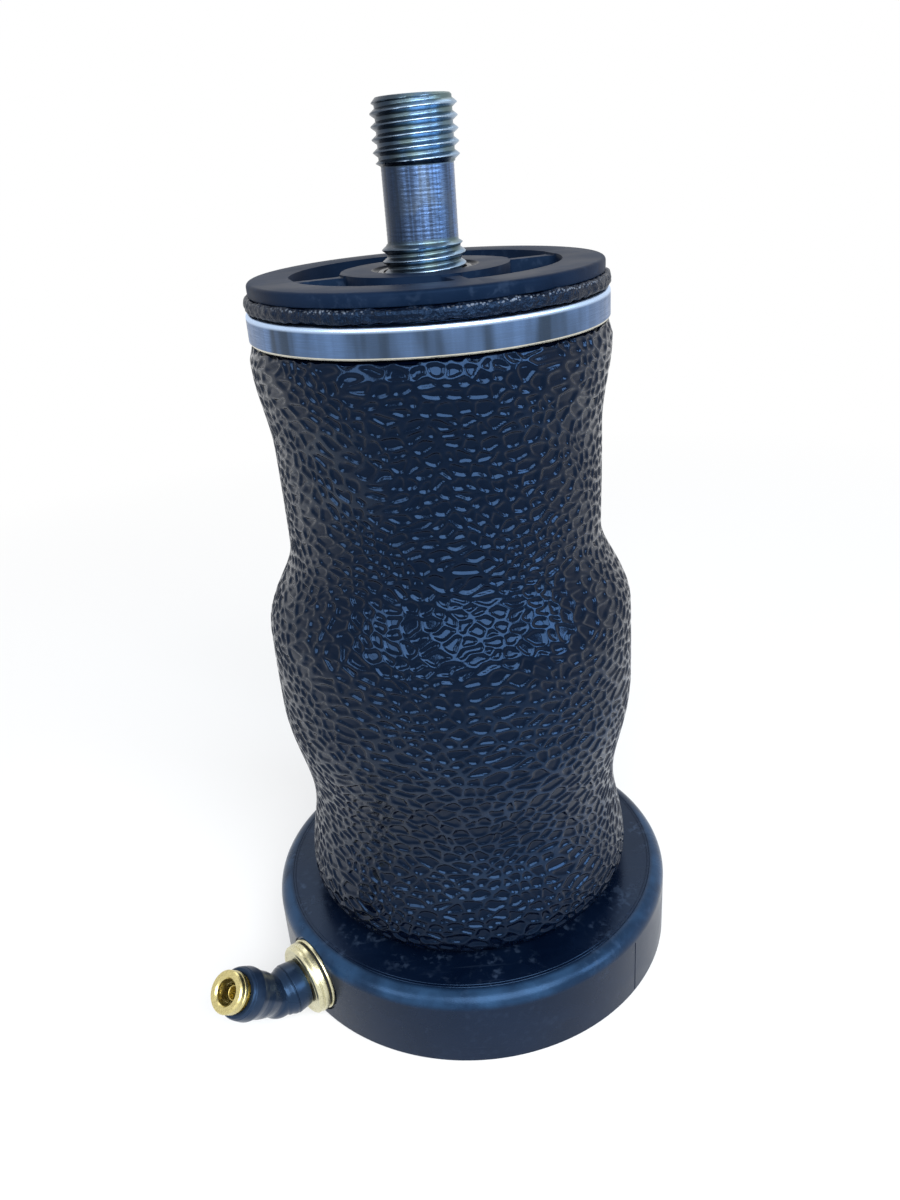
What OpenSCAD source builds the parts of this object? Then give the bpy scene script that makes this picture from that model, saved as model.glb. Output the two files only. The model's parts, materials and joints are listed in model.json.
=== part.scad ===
// Cab air spring: a rubber sleeve that rolls over a piston, crimped to a ribbed end cap with a
// threaded stud, on a moulded base disc with a swivelling push-in elbow for the air line.
// Millimetres, +Z up, origin at the centre of the base disc's underside, at the mouth of the
// mounting thread.

/* [Base disc] */
// Outer radius of the base disc
base_r = 57.5; // [55:0.5:62]
// Height of the base disc's deck above its underside
base_h = 22.2; // [21.6:0.2:26]
// Rounding of the base disc's top edge
base_edge_r = 4; // [2:0.5:5]
// Thickness of the deck
deck_t = 4; // [3:0.5:5]
// Thickness of the base disc's outer wall
base_wall = 4; // [3:0.5:5]
// Thickness of the ribs under the deck
base_rib_t = 2.5; // [2:0.5:3]
// Number of radial ribs under the deck
base_ribs = 12; // [8:4:12]
// Radius of the hub round the mounting insert
base_hub_r = 15; // [14:0.5:16]

/* [Mounting insert] */
// Radius of the steel insert in the base
insert_r = 10; // [9:0.5:11]
// Length of the steel insert
insert_len = 16; // [14:1:17]
// Radius of its tapped hole, at the thread's crests
insert_thread_r = 5.35; // [4.5:0.05:6.5]
// Depth of its tapped hole
insert_thread_len = 14; // [10:1:15]
// Width and depth of the two grooves that lock the insert in the moulding
insert_groove = 1.5; // [1:0.25:2]

/* [Piston] */
// Outer radius of the piston's wall
piston_r = 33.5; // [32:0.5:35]
// Thickness of the piston's wall
piston_wall = 4; // [3:0.5:5]
// Height of the piston above the deck
piston_h = 53.8; // [50:0.2:58]
// Thickness of the piston's top plate
piston_top_t = 4; // [3:0.5:6]
// How much smaller the neck that the sleeve is crimped on is than the piston
neck_step = 2; // [1:0.25:3]
// Height of the neck
piston_neck_h = 8; // [7:0.5:10]
// Height of the lip above the neck
piston_lip_h = 3; // [2:0.5:4]
// Depth of the barbs on the neck
barb_depth = 0.6; // [0.3:0.1:0.9]
// Radius of a screw boss
screw_boss_r = 3.8; // [3.5:0.1:4]
// Radius of the air holes through the piston's top
air_hole_r = 3; // [2:0.5:3.5]
// Height of the spigot that centres the piston on the deck
spigot_h = 4; // [3.5:0.5:5]
// Wall of the spigot
spigot_wall = 3.3; // [3:0.1:3.6]

/* [Piston screws] */
// Radius of a screw's shank
screw_r = 2.5; // [2:0.25:2.75]
// Length of a screw's shank
screw_len = 16; // [12:1:20]
// Radius of a screw's head
screw_head_r = 4; // [3.5:0.25:4.25]
// Height of a screw's head
screw_head_h = 3; // [2:0.5:4]
// Width across the flats of the socket in a screw's head
screw_socket_af = 4; // [3:0.5:4]

/* [Bump stop] */
// Radius of the bump stop's lowest ring
bump_r = 20; // [18:0.5:21]
// How much smaller each ring of the bump stop is than the one below
bump_taper = 1.5; // [1:0.25:2]
// Number of rings in the bump stop
bump_rings = 3; // [2:1:4]
// Depth of the grooves between the rings
bump_groove = 4; // [2.5:0.5:5]
// Radius of the stem that holds the bump stop
bump_stem_r = 5; // [4:0.5:6]
// Radius of the bulb under the piston's top
bump_bulb_r = 6.5; // [6:0.5:8]

/* [Rubber sleeve] */
// Thickness of the sleeve's wall
sleeve_t = 2.6; // [2:0.2:3]
// Radius of the sleeve's rolling lobe
lobe_r = 46; // [44:0.5:48]
// Gap between the lobe and the deck
lobe_lift = 0.8; // [0.4:0.2:2]
// Radius at the lower waist
low_waist_r = 43; // [42:0.5:45]
// Height of the lower waist above the deck
low_waist_z = 31; // [28:1:36]
// Radius of the bulge
bulge_r = 47.5; // [45:0.5:50]
// Height of the bulge's lower end above the deck
bulge_low_z = 62; // [56:1:66]
// Height of the bulge's upper end above the deck
bulge_high_z = 84; // [76:1:88]
// Radius at the upper waist
waist_r = 39.9; // [39:0.1:41]
// Drop from the crimp ring to the upper waist's lower end
waist_low_drop = 50; // [44:1:54]
// Drop from the crimp ring to the upper waist's upper end
waist_high_drop = 26; // [20:1:32]
// Radius at the shoulder below the crimp ring
shoulder_r = 42.6; // [41:0.2:44]
// Drop from the crimp ring to the shoulder
shoulder_drop = 4; // [3:0.5:8]
// Radius of the sleeve's cut end above the crimp ring
end_r = 42; // [41:0.2:43]
// Height of the sleeve's cut end above the crimp ring
end_h = 3.1; // [2:0.1:5]

/* [Crimp rings] */
// Outer radius of the upper crimp ring
ring_r = 42.1; // [42:0.1:43.5]
// Height of the upper crimp ring
ring_h = 6.6; // [5:0.2:8]
// Wall of both crimp rings
ring_t = 1.9; // [1.5:0.1:2.2]
// Rounding of the crimp rings' outer edges
ring_edge_r = 0.8; // [0.4:0.1:0.8]
// Height of the lower crimp ring
low_ring_h = 6; // [5:0.2:6.4]

/* [End cap] */
// Height of the end cap's top above the base disc's underside
free_height = 191; // [180:1:200]
// Radius of the end cap's lip
cap_r = 41; // [40:0.5:42]
// Height of the lip above the sleeve's cut end
cap_lip_h = 3; // [2.4:0.2:4]
// Rounding of the lip's top edge
cap_edge_r = 0.9; // [0.5:0.1:1.1]
// Radius of the end cap's hub
cap_hub_r = 19.5; // [18.5:0.5:21]
// Radius of the pockets' outer side
pocket_r = 31.4; // [30:0.2:33]
// Depth of the pockets
pocket_depth = 11; // [8:0.5:12]
// Rounding of the pockets' corners
pocket_corner_r = 2; // [1:0.5:3]
// Number of ribs between the hub and the rim
cap_ribs = 4; // [3:1:6]
// Thickness of the ribs
cap_rib_t = 3; // [2:0.5:4]
// Direction of the first rib
cap_rib_azimuth = 16; // [0:1:89]
// Drop of the ribs' top below the end cap's top
cap_rib_drop = 0.5; // [0.3:0.1:2]
// Thickness of the web under the pockets
web_t = 3.5; // [2.5:0.5:4]
// Wall of the skirt under the web
skirt_wall = 4; // [3:0.5:5]
// Length of the skirt below the web
skirt_drop = 2.5; // [1:0.5:3]
// Radius of the recess round the stud
recess_r = 14.5; // [12:0.5:16]
// Depth of the recess round the stud
recess_depth = 1.2; // [0.5:0.1:2]

/* [Stud] */
// Outer radius of the stud's thread
stud_r = 9.525; // [8:0.025:10]
// Height of the stud above the end cap
stud_h = 35; // [30:1:45]
// Length of the stud's upper thread
thread_len = 14; // [10:1:20]
// Radius of the stud's relief shank
relief_r = 8.05; // [6.8:0.05:8.4]
// Height above the end cap at which the relief shank starts
relief_z = 5.5; // [4:0.5:8]
// Chamfer at the stud's tip
stud_chamfer = 1.4; // [0.8:0.1:2]
// Width across the flats of the stud's head
head_af = 28.6; // [26:0.2:30]
// Height of the stud's head
head_h = 9; // [7:0.5:10]
// How far the head stands out below the end cap's hub
head_proud = 2; // [1:0.5:3]

/* [Air port] */
// Direction of the air port
port_azimuth = -143; // [-153:1:-133]
// Height of the air port's axis
port_z = 11.4; // [11.2:0.1:11.8]
// Radius of the air passages
air_r = 2.5; // [2:0.25:3]
// Depth of the port insert's seat in the base disc's side
port_inset = 1; // [1:0.1:2]
// Gap round the port insert's flange in its seat
port_seat_gap = 0.6; // [0.4:0.1:0.8]
// Wall beside the port insert's body, in the bar that joins hub and rim
port_bar_wall = 2; // [1.5:0.25:3]
// Radius of the port insert's body
port_insert_r = 7; // [6.5:0.1:7]
// Length of the port insert's body
port_insert_len = 14; // [12:0.5:16]
// Radius of the port insert's flange
port_rim_r = 10; // [9:0.1:10.4]
// Thickness of the port insert's flange
port_rim_t = 0.9; // [0.6:0.1:1.2]
// Thickness of the gasket between the two flanges
gasket_t = 0.6; // [0.4:0.1:0.8]
// Radius of the stem's thread
stem_thread_r = 5.1; // [4.6:0.1:5.4]
// Length of the stem's thread
stem_thread_len = 11; // [8:0.5:13]
// Radius of the stem's flange
stem_flange_r = 9.8; // [8:0.1:10.2]
// Thickness of the stem's flange
stem_flange_t = 3; // [2.4:0.1:3.4]
// Width of the land round the stem's flange
stem_land = 1.5; // [1:0.1:1.6]
// Step beside the land, and bevel at the flange's front
stem_step = 0.35; // [0.2:0.05:0.5]
// Radius of the post that the elbow swivels on
post_r = 4.5; // [4:0.1:4.8]
// Length of the post
post_len = 6.6; // [6:0.1:6.8]

/* [Swivel elbow] */
// Bend of the elbow
elbow_angle = 45; // [30:5:60]
// How far the elbow is turned on its stem from upright
elbow_turn = 9.5; // [-60:0.5:60]
// Distance from the stem's flange to the elbow's corner
stem_reach = 8; // [8:0.1:10]
// Distance from the corner to the face of the release collet
leg_reach = 19.6; // [19.4:0.1:22]
// Largest radius of the collar at the stem
collar_r = 6.85; // [6.6:0.05:7.2]
// Length of the collar
collar_len = 4.4; // [4:0.1:4.8]
// How much the collar narrows to its open end
collar_draft = 0.45; // [0.2:0.05:0.6]
// Radius of the step beside the collar
collar_step_r = 6.1; // [5.9:0.05:6.4]
// Length of the step
collar_step_len = 2.2; // [1.8:0.1:2.4]
// Radius of the elbow's waist
elbow_waist_r = 5.3; // [5.1:0.05:5.6]
// Length of the waist along the leg
waist_len = 3.6; // [3:0.1:4]
// How far the rounded corner stands out past the waist
elbow_swell = 0.3; // [0.2:0.1:0.6]
// Radius of the socket's root
socket_root_r = 6.15; // [6.1:0.05:6.4]
// Length over which the waist widens to the root
root_rise = 3.2; // [2.6:0.1:3.4]
// Length of the root
root_len = 2.4; // [2:0.1:2.6]
// Radius of the ridge round the socket
socket_r = 6.85; // [6.6:0.05:7.2]
// Length over which the root widens to the ridge
ridge_rise = 1.8; // [1.4:0.1:2]
// Length of the ridge
ridge_len = 1.9; // [1.5:0.1:2.2]
// How much the socket narrows to its mouth
socket_taper = 0.9; // [0.5:0.05:1]

/* [Push-in socket] */
// Outer radius of the air line
tube_r = 3.175; // [3:0.025:3.25]
// Distance from the elbow's corner to the air line's stop
tube_stop = 5; // [4:0.1:6]
// Distance from the elbow's corner to the seal
seal_bottom = 8; // [7.4:0.1:8.2]
// Radius of the bore that holds the seal, the grab ring and the cartridge
socket_bore_r = 4.9; // [4.8:0.05:5]
// Radius of the release collet's flange
collet_flange_r = 5.4; // [5.2:0.05:5.6]
// Thickness of the release collet's flange
collet_flange_t = 2.8; // [2.4:0.1:3]
// Radius of the release collet's sleeve
collet_r = 3.95; // [3.9:0.05:4.05]
// Length of the mouth that guides the air line
collet_guide = 1.8; // [1.4:0.1:1.9]
// How far the release collet's bore widens behind its mouth
collet_relief = 0.15; // [0.1:0.05:0.2]
// Bevel at the release collet's mouth
collet_bevel = 0.3; // [0.2:0.05:0.4]
// Travel of the release collet
collet_travel = 1; // [0.6:0.1:1.1]
// Outer radius of the tube support
support_r = 1.95; // [1.8:0.05:2.1]
// Wall of the tube support
support_wall = 0.35; // [0.25:0.05:0.5]
// Depth of the tube support's tip below the release collet's face
support_depth = 3; // [2.9:0.1:5]
// Thickness of the tube support's foot
support_foot = 0.8; // [0.5:0.1:1.2]

/* [Clearances] */
// Gap between the sleeve and what it is clamped between at the end cap
sleeve_gap = 0.3; // [0.2:0.05:0.4]
// Gap round pieces that are pressed or moulded in
seat_gap = 0.05; // [0.02:0.01:0.1]
// Running clearance of the swivel and of the collet
run_gap = 0.06; // [0.02:0.01:0.1]
// Gap left at a stop at the end of a travel
stop_gap = 0.3; // [0.2:0.05:0.5]
// Compression travel from the height as drawn
jounce = 55; // [40:1:56]

/* [Hidden] */
$fn = 96;
ring_section = 1.2;
big = 200;
cut = 1;

// Heights of the base disc and the piston
deck_under = base_h - deck_t;
piston_top = base_h + piston_h;
neck_top = piston_top - piston_lip_h;
neck_bottom = neck_top - piston_neck_h;
piston_neck_r = piston_r - neck_step;
piston_lip_r = piston_neck_r + neck_step / 2;
lip_edge_r = 1;
piston_bore_r = piston_r - piston_wall;
spigot_r = piston_bore_r - seat_gap;
spigot_ring_z = base_h + spigot_h / 2;
screw_circle_r = spigot_r - spigot_wall - stop_gap - screw_boss_r - seat_gap;
ring_rib_r = piston_r - base_rib_t / 2;
rib_step = 360 / base_ribs;
piston_screw_count = 4;
screw_hole_r = screw_r + seat_gap;

// Heights of the end cap and the stud
lip_bottom = free_height - cap_lip_h;
ring_top = lip_bottom - sleeve_gap - end_h;
ring_bottom = ring_top - ring_h;
pocket_floor = free_height - pocket_depth;
web_bottom = pocket_floor - web_t;
skirt_bottom = web_bottom - skirt_drop;
head_r = head_af / 2 / cos(30);
head_top = pocket_floor;
head_bottom = head_top - head_h;
hub_bottom = head_bottom + head_proud;
stud_tip = free_height + stud_h;
relief_top = stud_tip - thread_len;
bump_top = head_bottom - jounce - stop_gap;

// Radii where the sleeve is clamped, worked inwards from the upper crimp ring and outwards from the piston
ring_bore_r = ring_r - ring_t;
clamp_out_r = ring_bore_r - sleeve_gap;
clamp_in_r = clamp_out_r - sleeve_t;
skirt_r = clamp_in_r - sleeve_gap;
skirt_in_r = skirt_r - skirt_wall;
end_in_r = end_r - sleeve_t;
cap_neck_r = end_in_r - sleeve_gap;
flare_h = 1.4;
skirt_bevel = 1.5;
shoulder_step = 1;
barb_crest = 0.8;
leg_in_r = piston_r + seat_gap;
leg_out_r = leg_in_r + sleeve_t;
low_clamp_in_r = piston_neck_r + seat_gap;
low_clamp_out_r = low_clamp_in_r + sleeve_t;
low_ring_bore_r = low_clamp_out_r + seat_gap;
low_ring_z = (neck_top + neck_bottom - low_ring_h) / 2;

// The rolling lobe is half a circle between the outer and the inner leg
lobe_out = (lobe_r - leg_in_r) / 2;
lobe_in = lobe_out - sleeve_t;
lobe_cr = (lobe_r + leg_in_r) / 2;
lobe_cz = base_h + lobe_lift + lobe_out;
lobe_steps = 12;

// Distances along the air port's axis, from the spring's axis
port_seat = base_r - port_inset;
gasket_s = port_seat + port_rim_t;
flange_s = gasket_s + gasket_t;
flange_face = flange_s + stem_flange_t;
elbow_start = flange_face + stop_gap;
post_end = flange_face + post_len;
corner_s = flange_face + stem_reach;
air_rise_s = screw_circle_r;
stem_ring_s = flange_face + post_len / 2;
stem_ring_r = 0.9;

// Distances along the elbow's leg, from its corner
elbow_air_r = air_r - stop_gap;
collet_face = leg_reach;
collet_back = collet_face - collet_flange_t;
socket_face = collet_back - collet_travel - stop_gap / 2;
seal_r = (socket_bore_r - seat_gap - tube_r) / 2;
seal_z = seal_bottom + seal_r + seat_gap;
grab_z = seal_bottom + 2 * seal_r + 3 * seat_gap;
grab_t = 0.4;
grab_rise = 0.5;
cartridge_z = grab_z + grab_t + grab_rise + seat_gap;
collet_nose = cartridge_z + collet_travel + stop_gap / 2;
collet_bore_r = tube_r + run_gap;
guide_end = collet_face - collet_bevel - collet_guide;

// Points of an arc about a centre, from one angle to another
function arc(cx, cy, r, from, to, steps) =
    [for (i = [0 : steps]) let (a = from + (to - from) * i / steps) [cx + r * cos(a), cy + r * sin(a)]];

// Rises smoothly from 0 to 1 as t does
function ease(t) = (1 - cos(180 * t)) / 2;

// Points of a smooth side between two stations, each a radius and a height, without the second
function side(a, b, steps) =
    [for (i = [0 : steps - 1]) [a[0] + (b[0] - a[0]) * ease(i / steps), a[1] + (b[1] - a[1]) * i / steps]];

// Radii and heights at which the sleeve's outer side turns, from the shoulder down to the lobe
sleeve_stations = [
    [shoulder_r, ring_bottom - shoulder_drop],
    [waist_r, ring_bottom - waist_high_drop],
    [waist_r, ring_bottom - waist_low_drop],
    [bulge_r, base_h + bulge_high_z],
    [bulge_r, base_h + bulge_low_z],
    [low_waist_r, base_h + low_waist_z],
    [lobe_r, lobe_cz]
];
side_steps = [6, 1, 8, 1, 8, 6];
sleeve_side = [
    for (i = [0 : len(side_steps) - 1]) each side(sleeve_stations[i], sleeve_stations[i + 1], side_steps[i])
];

function reversed(points) = [for (i = [len(points) - 1 : -1 : 0]) points[i]];
function moved_in(points, by) = [for (p = points) [p[0] - by, p[1]]];

// Saw-tooth barbs up a neck of radius r, between two heights
function barbs(r, from, to, count) =
    [for (i = [0 : count - 1]) let (z = from + (to - from) * i / count, pitch = (to - from) / count)
        each [[r - barb_depth, z], [r, z + pitch * barb_crest]]];

// A ring of square section with rounded outer edges
module crimp_ring(bore_r, z, h) {
    r = bore_r + ring_t;
    e = ring_edge_r;
    rotate_extrude()
        polygon(concat(
            [[bore_r, z]],
            arc(r - e, z + e, e, -90, 0, 4),
            arc(r - e, z + h - e, e, 0, 90, 4),
            [[bore_r, z + h]]
        ));
}

module o_ring(major_r, section_r) {
    rotate_extrude() translate([major_r, 0]) circle(section_r, $fn = 32);
}

// A plain ring between two radii
module ring(out_r, in_r, h) {
    difference() {
        cylinder(r = out_r, h = h);
        translate([0, 0, -cut]) cylinder(r = in_r, h = h + 2 * cut);
    }
}

// Places children on the air port's axis, with their Z pointing outwards
module at_port(s) {
    rotate([0, 0, port_azimuth])
        translate([0, 0, port_z])
            rotate([0, 90, 0])
                translate([0, 0, s]) children();
}

// Places children on the elbow's leg, with their Z pointing out of the socket
module at_leg(u) {
    at_port(corner_s)
        rotate([0, 0, -elbow_turn])
            rotate([0, -elbow_angle, 0])
                translate([0, 0, u]) children();
}

// Places children at each piston screw, between the ribs of the base disc
module at_screws() {
    for (i = [0 : piston_screw_count - 1])
        rotate([0, 0, port_azimuth + (i * base_ribs / piston_screw_count + 1.5) * rib_step])
            translate([screw_circle_r, 0, 0]) children();
}

// The space under the deck, less the hub, the ribs and the bar round the air passage
module base_pockets() {
    difference() {
        translate([0, 0, -cut]) ring(base_r - base_wall, base_hub_r, deck_under + cut);
        translate([0, 0, -2 * cut])
            ring(ring_rib_r + base_rib_t / 2, ring_rib_r - base_rib_t / 2, base_h + 2 * cut);
        for (i = [0 : base_ribs - 1])
            rotate([0, 0, port_azimuth + i * rib_step])
                translate([0, -base_rib_t / 2, -2 * cut]) cube([base_r, base_rib_t, base_h + 2 * cut]);
        rotate([0, 0, port_azimuth])
            translate([0, -port_insert_r - port_bar_wall, -2 * cut])
                cube([base_r, 2 * (port_insert_r + port_bar_wall), base_h + 2 * cut]);
    }
}

module base_disc() {
    color("#1c2430")
    difference() {
        union() {
            rotate_extrude()
                polygon(concat([[0, 0], [base_r, 0]],
                    arc(base_r - base_edge_r, base_h - base_edge_r, base_edge_r, 0, 90, 6),
                    [[0, base_h]]));
            translate([0, 0, base_h - cut]) ring(spigot_r, spigot_r - spigot_wall, spigot_h + cut);
        }
        base_pockets();
        translate([0, 0, spigot_ring_z - ring_section - seat_gap])
            ring(spigot_r + cut, spigot_r - 2 * ring_section - seat_gap, 2 * (ring_section + seat_gap));
        translate([0, 0, -cut]) cylinder(r = insert_r + seat_gap, h = insert_len + seat_gap + cut);
        at_port(port_seat) cylinder(r = port_rim_r + port_seat_gap, h = big);
        at_port(port_seat - port_insert_len) cylinder(r = port_insert_r + seat_gap, h = big);
        at_port(air_rise_s) cylinder(r = air_r, h = base_r / 2);
        rotate([0, 0, port_azimuth])
            translate([air_rise_s, 0, port_z]) cylinder(r = air_r, h = base_h);
        at_screws() cylinder(r = screw_hole_r, h = 2 * base_h);
    }
}

module mounting_insert() {
    color("#a9adb2")
    difference() {
        cylinder(r = insert_r, h = insert_len);
        translate([0, 0, -cut]) cylinder(r = insert_thread_r, h = insert_thread_len + cut);
        for (i = [1 : 2])
            translate([0, 0, i * insert_len / 3 - insert_groove / 2])
                ring(insert_r + cut, insert_r - insert_groove, insert_groove);
    }
}

module piston() {
    color("#20252b")
    difference() {
        union() {
            difference() {
                rotate_extrude()
                    polygon(concat(
                        [[0, base_h], [piston_r, base_h], [piston_r, neck_bottom - neck_step]],
                        barbs(piston_neck_r, neck_bottom, neck_top, 3),
                        [[piston_neck_r, neck_top], [piston_lip_r, neck_top]],
                        arc(piston_lip_r - lip_edge_r, piston_top - lip_edge_r, lip_edge_r, 0, 90, 4),
                        [[0, piston_top]]
                    ));
                translate([0, 0, base_h - cut])
                    cylinder(r = piston_bore_r, h = piston_h - piston_top_t + cut);
            }
            at_screws() {
                translate([0, 0, base_h]) cylinder(r = screw_boss_r, h = piston_h - cut);
                translate([0, -base_rib_t / 2, base_h + spigot_h + cut])
                    cube([
                        piston_r - screw_circle_r - piston_wall / 2,
                        base_rib_t,
                        piston_h - spigot_h - 2 * cut
                    ]);
            }
        }
        at_screws() translate([0, 0, base_h - cut]) cylinder(r = screw_hole_r, h = screw_len + cut);
        translate([0, 0, base_h]) cylinder(r = bump_stem_r + seat_gap, h = big);
        for (i = [0 : piston_screw_count - 1])
            rotate([0, 0, port_azimuth + 90 * i])
                translate([spigot_r - spigot_wall / 2 - air_hole_r, 0, base_h])
                    cylinder(r = air_hole_r, h = big);
    }
}

module piston_o_ring() {
    color("#111417")
    translate([0, 0, spigot_ring_z]) o_ring(piston_bore_r - seat_gap - ring_section, ring_section);
}

module piston_screws() {
    color("#8d9297")
    at_screws() translate([0, 0, deck_under]) difference() {
        union() {
            translate([0, 0, -screw_head_h]) cylinder(r = screw_head_r, h = screw_head_h);
            cylinder(r = screw_r, h = screw_len);
        }
        translate([0, 0, -screw_head_h - cut])
            cylinder(r = screw_socket_af / 2 / cos(30), h = screw_head_h / 2 + cut, $fn = 6);
    }
}

module bump_stop() {
    pitch = (bump_top - piston_top) / bump_rings;
    e = 0.8 * (bump_groove - bump_taper);
    bulge_h = 0.8 * pitch;
    bulb_top = piston_top - piston_top_t - seat_gap;
    color("#15181b") {
        rotate_extrude()
            polygon([
                [0, piston_top],
                for (i = [0 : bump_rings - 1])
                    let (r = bump_r - i * bump_taper, z = piston_top + i * pitch)
                        each concat(
                            i == 0 ? [[r, z]] : arc(r - e, z + e, e, -90, 0, 6),
                            arc(r - e, z + bulge_h - e, e, 0, 90, 6),
                            [[r - bump_groove, z + bulge_h], [r - bump_groove, z + pitch]]
                        ),
                [0, bump_top]
            ]);
        rotate_extrude()
            polygon([
                [0, bulb_top - bump_stem_r], [bump_stem_r - cut, bulb_top - bump_stem_r],
                [bump_bulb_r, bulb_top], [bump_stem_r, bulb_top],
                [bump_stem_r, piston_top + cut], [0, piston_top + cut]
            ]);
    }
}

module rubber_sleeve() {
    foot = [[leg_in_r, neck_bottom - neck_step - seat_gap], [low_clamp_in_r, neck_bottom]];
    sleeve_end = neck_top - sleeve_gap;
    color("#1a1f26")
    rotate_extrude()
        polygon(concat(
            [[end_in_r, lip_bottom - sleeve_gap], [end_r, lip_bottom - sleeve_gap],
             [end_r, ring_top + 2 * sleeve_gap], [clamp_out_r, ring_top + sleeve_gap],
             [clamp_out_r, ring_bottom - sleeve_gap],
             [shoulder_r - shoulder_step, ring_bottom - 2 * sleeve_gap]],
            sleeve_side,
            arc(lobe_cr, lobe_cz, lobe_out, 0, -180, lobe_steps),
            foot,
            [[low_clamp_in_r, sleeve_end], [low_clamp_out_r, sleeve_end]],
            reversed(moved_in(foot, -sleeve_t)),
            arc(lobe_cr, lobe_cz, lobe_in, -180, 0, lobe_steps),
            reversed(moved_in(sleeve_side, sleeve_t)),
            [[clamp_in_r, ring_bottom - sleeve_gap], [clamp_in_r, ring_top],
             [end_in_r, ring_top + flare_h]]
        ));
}

module lower_crimp_ring() {
    color("#b8bcc0")
    crimp_ring(low_ring_bore_r, low_ring_z, low_ring_h);
}

module upper_crimp_ring() {
    color("#c4c8cc")
    crimp_ring(ring_bore_r, ring_bottom, ring_h);
}

// Points of a pocket between two ribs, with rounded corners, counter-clockwise from the first rib
function pocket_corner(r, a, from, to) = arc(r * cos(a), r * sin(a), pocket_corner_r, from, to, 4);
function pocket_outline() =
    let (
        c = pocket_corner_r,
        step = 360 / cap_ribs,
        out_a = asin((cap_rib_t / 2 + c) / (pocket_r - c)),
        in_a = asin((cap_rib_t / 2 + c) / (cap_hub_r + c))
    )
    concat(
        pocket_corner(pocket_r - c, out_a, -90, out_a),
        arc(0, 0, pocket_r, out_a, step - out_a, 16),
        pocket_corner(pocket_r - c, step - out_a, step - out_a, step + 90),
        pocket_corner(cap_hub_r + c, step - in_a, step + 90, step - in_a + 180),
        arc(0, 0, cap_hub_r, step - in_a, in_a, 12),
        pocket_corner(cap_hub_r + c, in_a, in_a + 180, 270)
    );

module end_cap() {
    e = cap_edge_r;
    color("#232a32")
    difference() {
        rotate_extrude()
            polygon(concat(
                [[0, hub_bottom], [cap_hub_r - cut, hub_bottom], [cap_hub_r, hub_bottom + cut],
                 [cap_hub_r, web_bottom], [skirt_in_r, web_bottom], [skirt_in_r, skirt_bottom],
                 [skirt_r - skirt_bevel, skirt_bottom], [skirt_r, skirt_bottom + skirt_bevel]],
                barbs(skirt_r, ring_bottom, ring_top, 3),
                [[skirt_r, ring_top + sleeve_gap], [cap_neck_r, ring_top + sleeve_gap + flare_h],
                 [cap_neck_r, lip_bottom], [cap_r - e / 3, lip_bottom], [cap_r, lip_bottom + e / 3]],
                arc(cap_r - e, free_height - e, e, 0, 90, 5),
                [[0, free_height]]
            ));
        translate([0, 0, pocket_floor]) linear_extrude(pocket_depth + cut)
            for (i = [0 : cap_ribs - 1])
                rotate(cap_rib_azimuth + i * 360 / cap_ribs) polygon(pocket_outline());
        translate([0, 0, free_height - cap_rib_drop])
            ring(pocket_r - stop_gap, cap_hub_r + stop_gap, cap_rib_drop + cut);
        translate([0, 0, free_height - recess_depth]) cylinder(r = recess_r, h = recess_depth + cut);
        translate([0, 0, hub_bottom - cut]) cylinder(r = stud_r + seat_gap, h = big);
        translate([0, 0, hub_bottom - cut])
            cylinder(r = head_r + 2 * seat_gap, h = head_top - hub_bottom + cut + seat_gap, $fn = 6);
        translate([0, 0, head_top])
            cylinder(r = stud_r + 2 * ring_section + seat_gap, h = 2 * ring_section + seat_gap);
    }
}

module stud() {
    color("#b9c0c8") {
        translate([0, 0, head_bottom]) cylinder(r = head_r, h = head_h, $fn = 6);
        translate([0, 0, head_top - cut]) cylinder(r = stud_r, h = free_height + relief_z - head_top + cut);
        translate([0, 0, free_height + relief_z - cut])
            cylinder(r = relief_r, h = relief_top - free_height - relief_z + 2 * cut);
        translate([0, 0, relief_top]) cylinder(r = stud_r, h = thread_len - stud_chamfer);
        translate([0, 0, stud_tip - stud_chamfer])
            cylinder(r1 = stud_r, r2 = stud_r - stud_chamfer, h = stud_chamfer);
    }
}

module stud_o_ring() {
    color("#111417")
    translate([0, 0, head_top + ring_section + seat_gap / 2])
        o_ring(stud_r + seat_gap + ring_section, ring_section - seat_gap);
}

module port_insert() {
    color("#c2a85a")
    difference() {
        union() {
            at_port(port_seat - port_insert_len)
                cylinder(r = port_insert_r, h = port_insert_len + port_rim_t);
            at_port(port_seat) cylinder(r = port_rim_r, h = port_rim_t);
        }
        at_port(0) cylinder(r = stem_thread_r + seat_gap, h = big);
    }
}

module port_gasket() {
    color("#111417")
    at_port(gasket_s) ring(stem_flange_r - gasket_t, stem_thread_r + seat_gap, gasket_t);
}

module port_stem() {
    color("#cdb365")
    difference() {
        union() {
            at_port(flange_s - stem_thread_len) cylinder(r = stem_thread_r, h = stem_thread_len + cut);
            at_port(flange_s) rotate_extrude()
                polygon([
                    [0, 0], [stem_flange_r, 0], [stem_flange_r, stem_land],
                    [stem_flange_r - stem_step, stem_land],
                    [stem_flange_r - stem_step, stem_flange_t - stem_step],
                    [stem_flange_r - 2 * stem_step, stem_flange_t], [0, stem_flange_t]
                ]);
            at_port(flange_s + cut) cylinder(r = post_r, h = post_end - flange_s - cut);
        }
        at_port(0) cylinder(r = air_r, h = big);
        at_port(stem_ring_s - stem_ring_r) ring(post_r + cut, post_r - 2 * stem_ring_r, 2 * stem_ring_r);
    }
}

module stem_o_ring() {
    color("#111417")
    at_port(stem_ring_s) o_ring(post_r - stem_ring_r, stem_ring_r);
}

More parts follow.
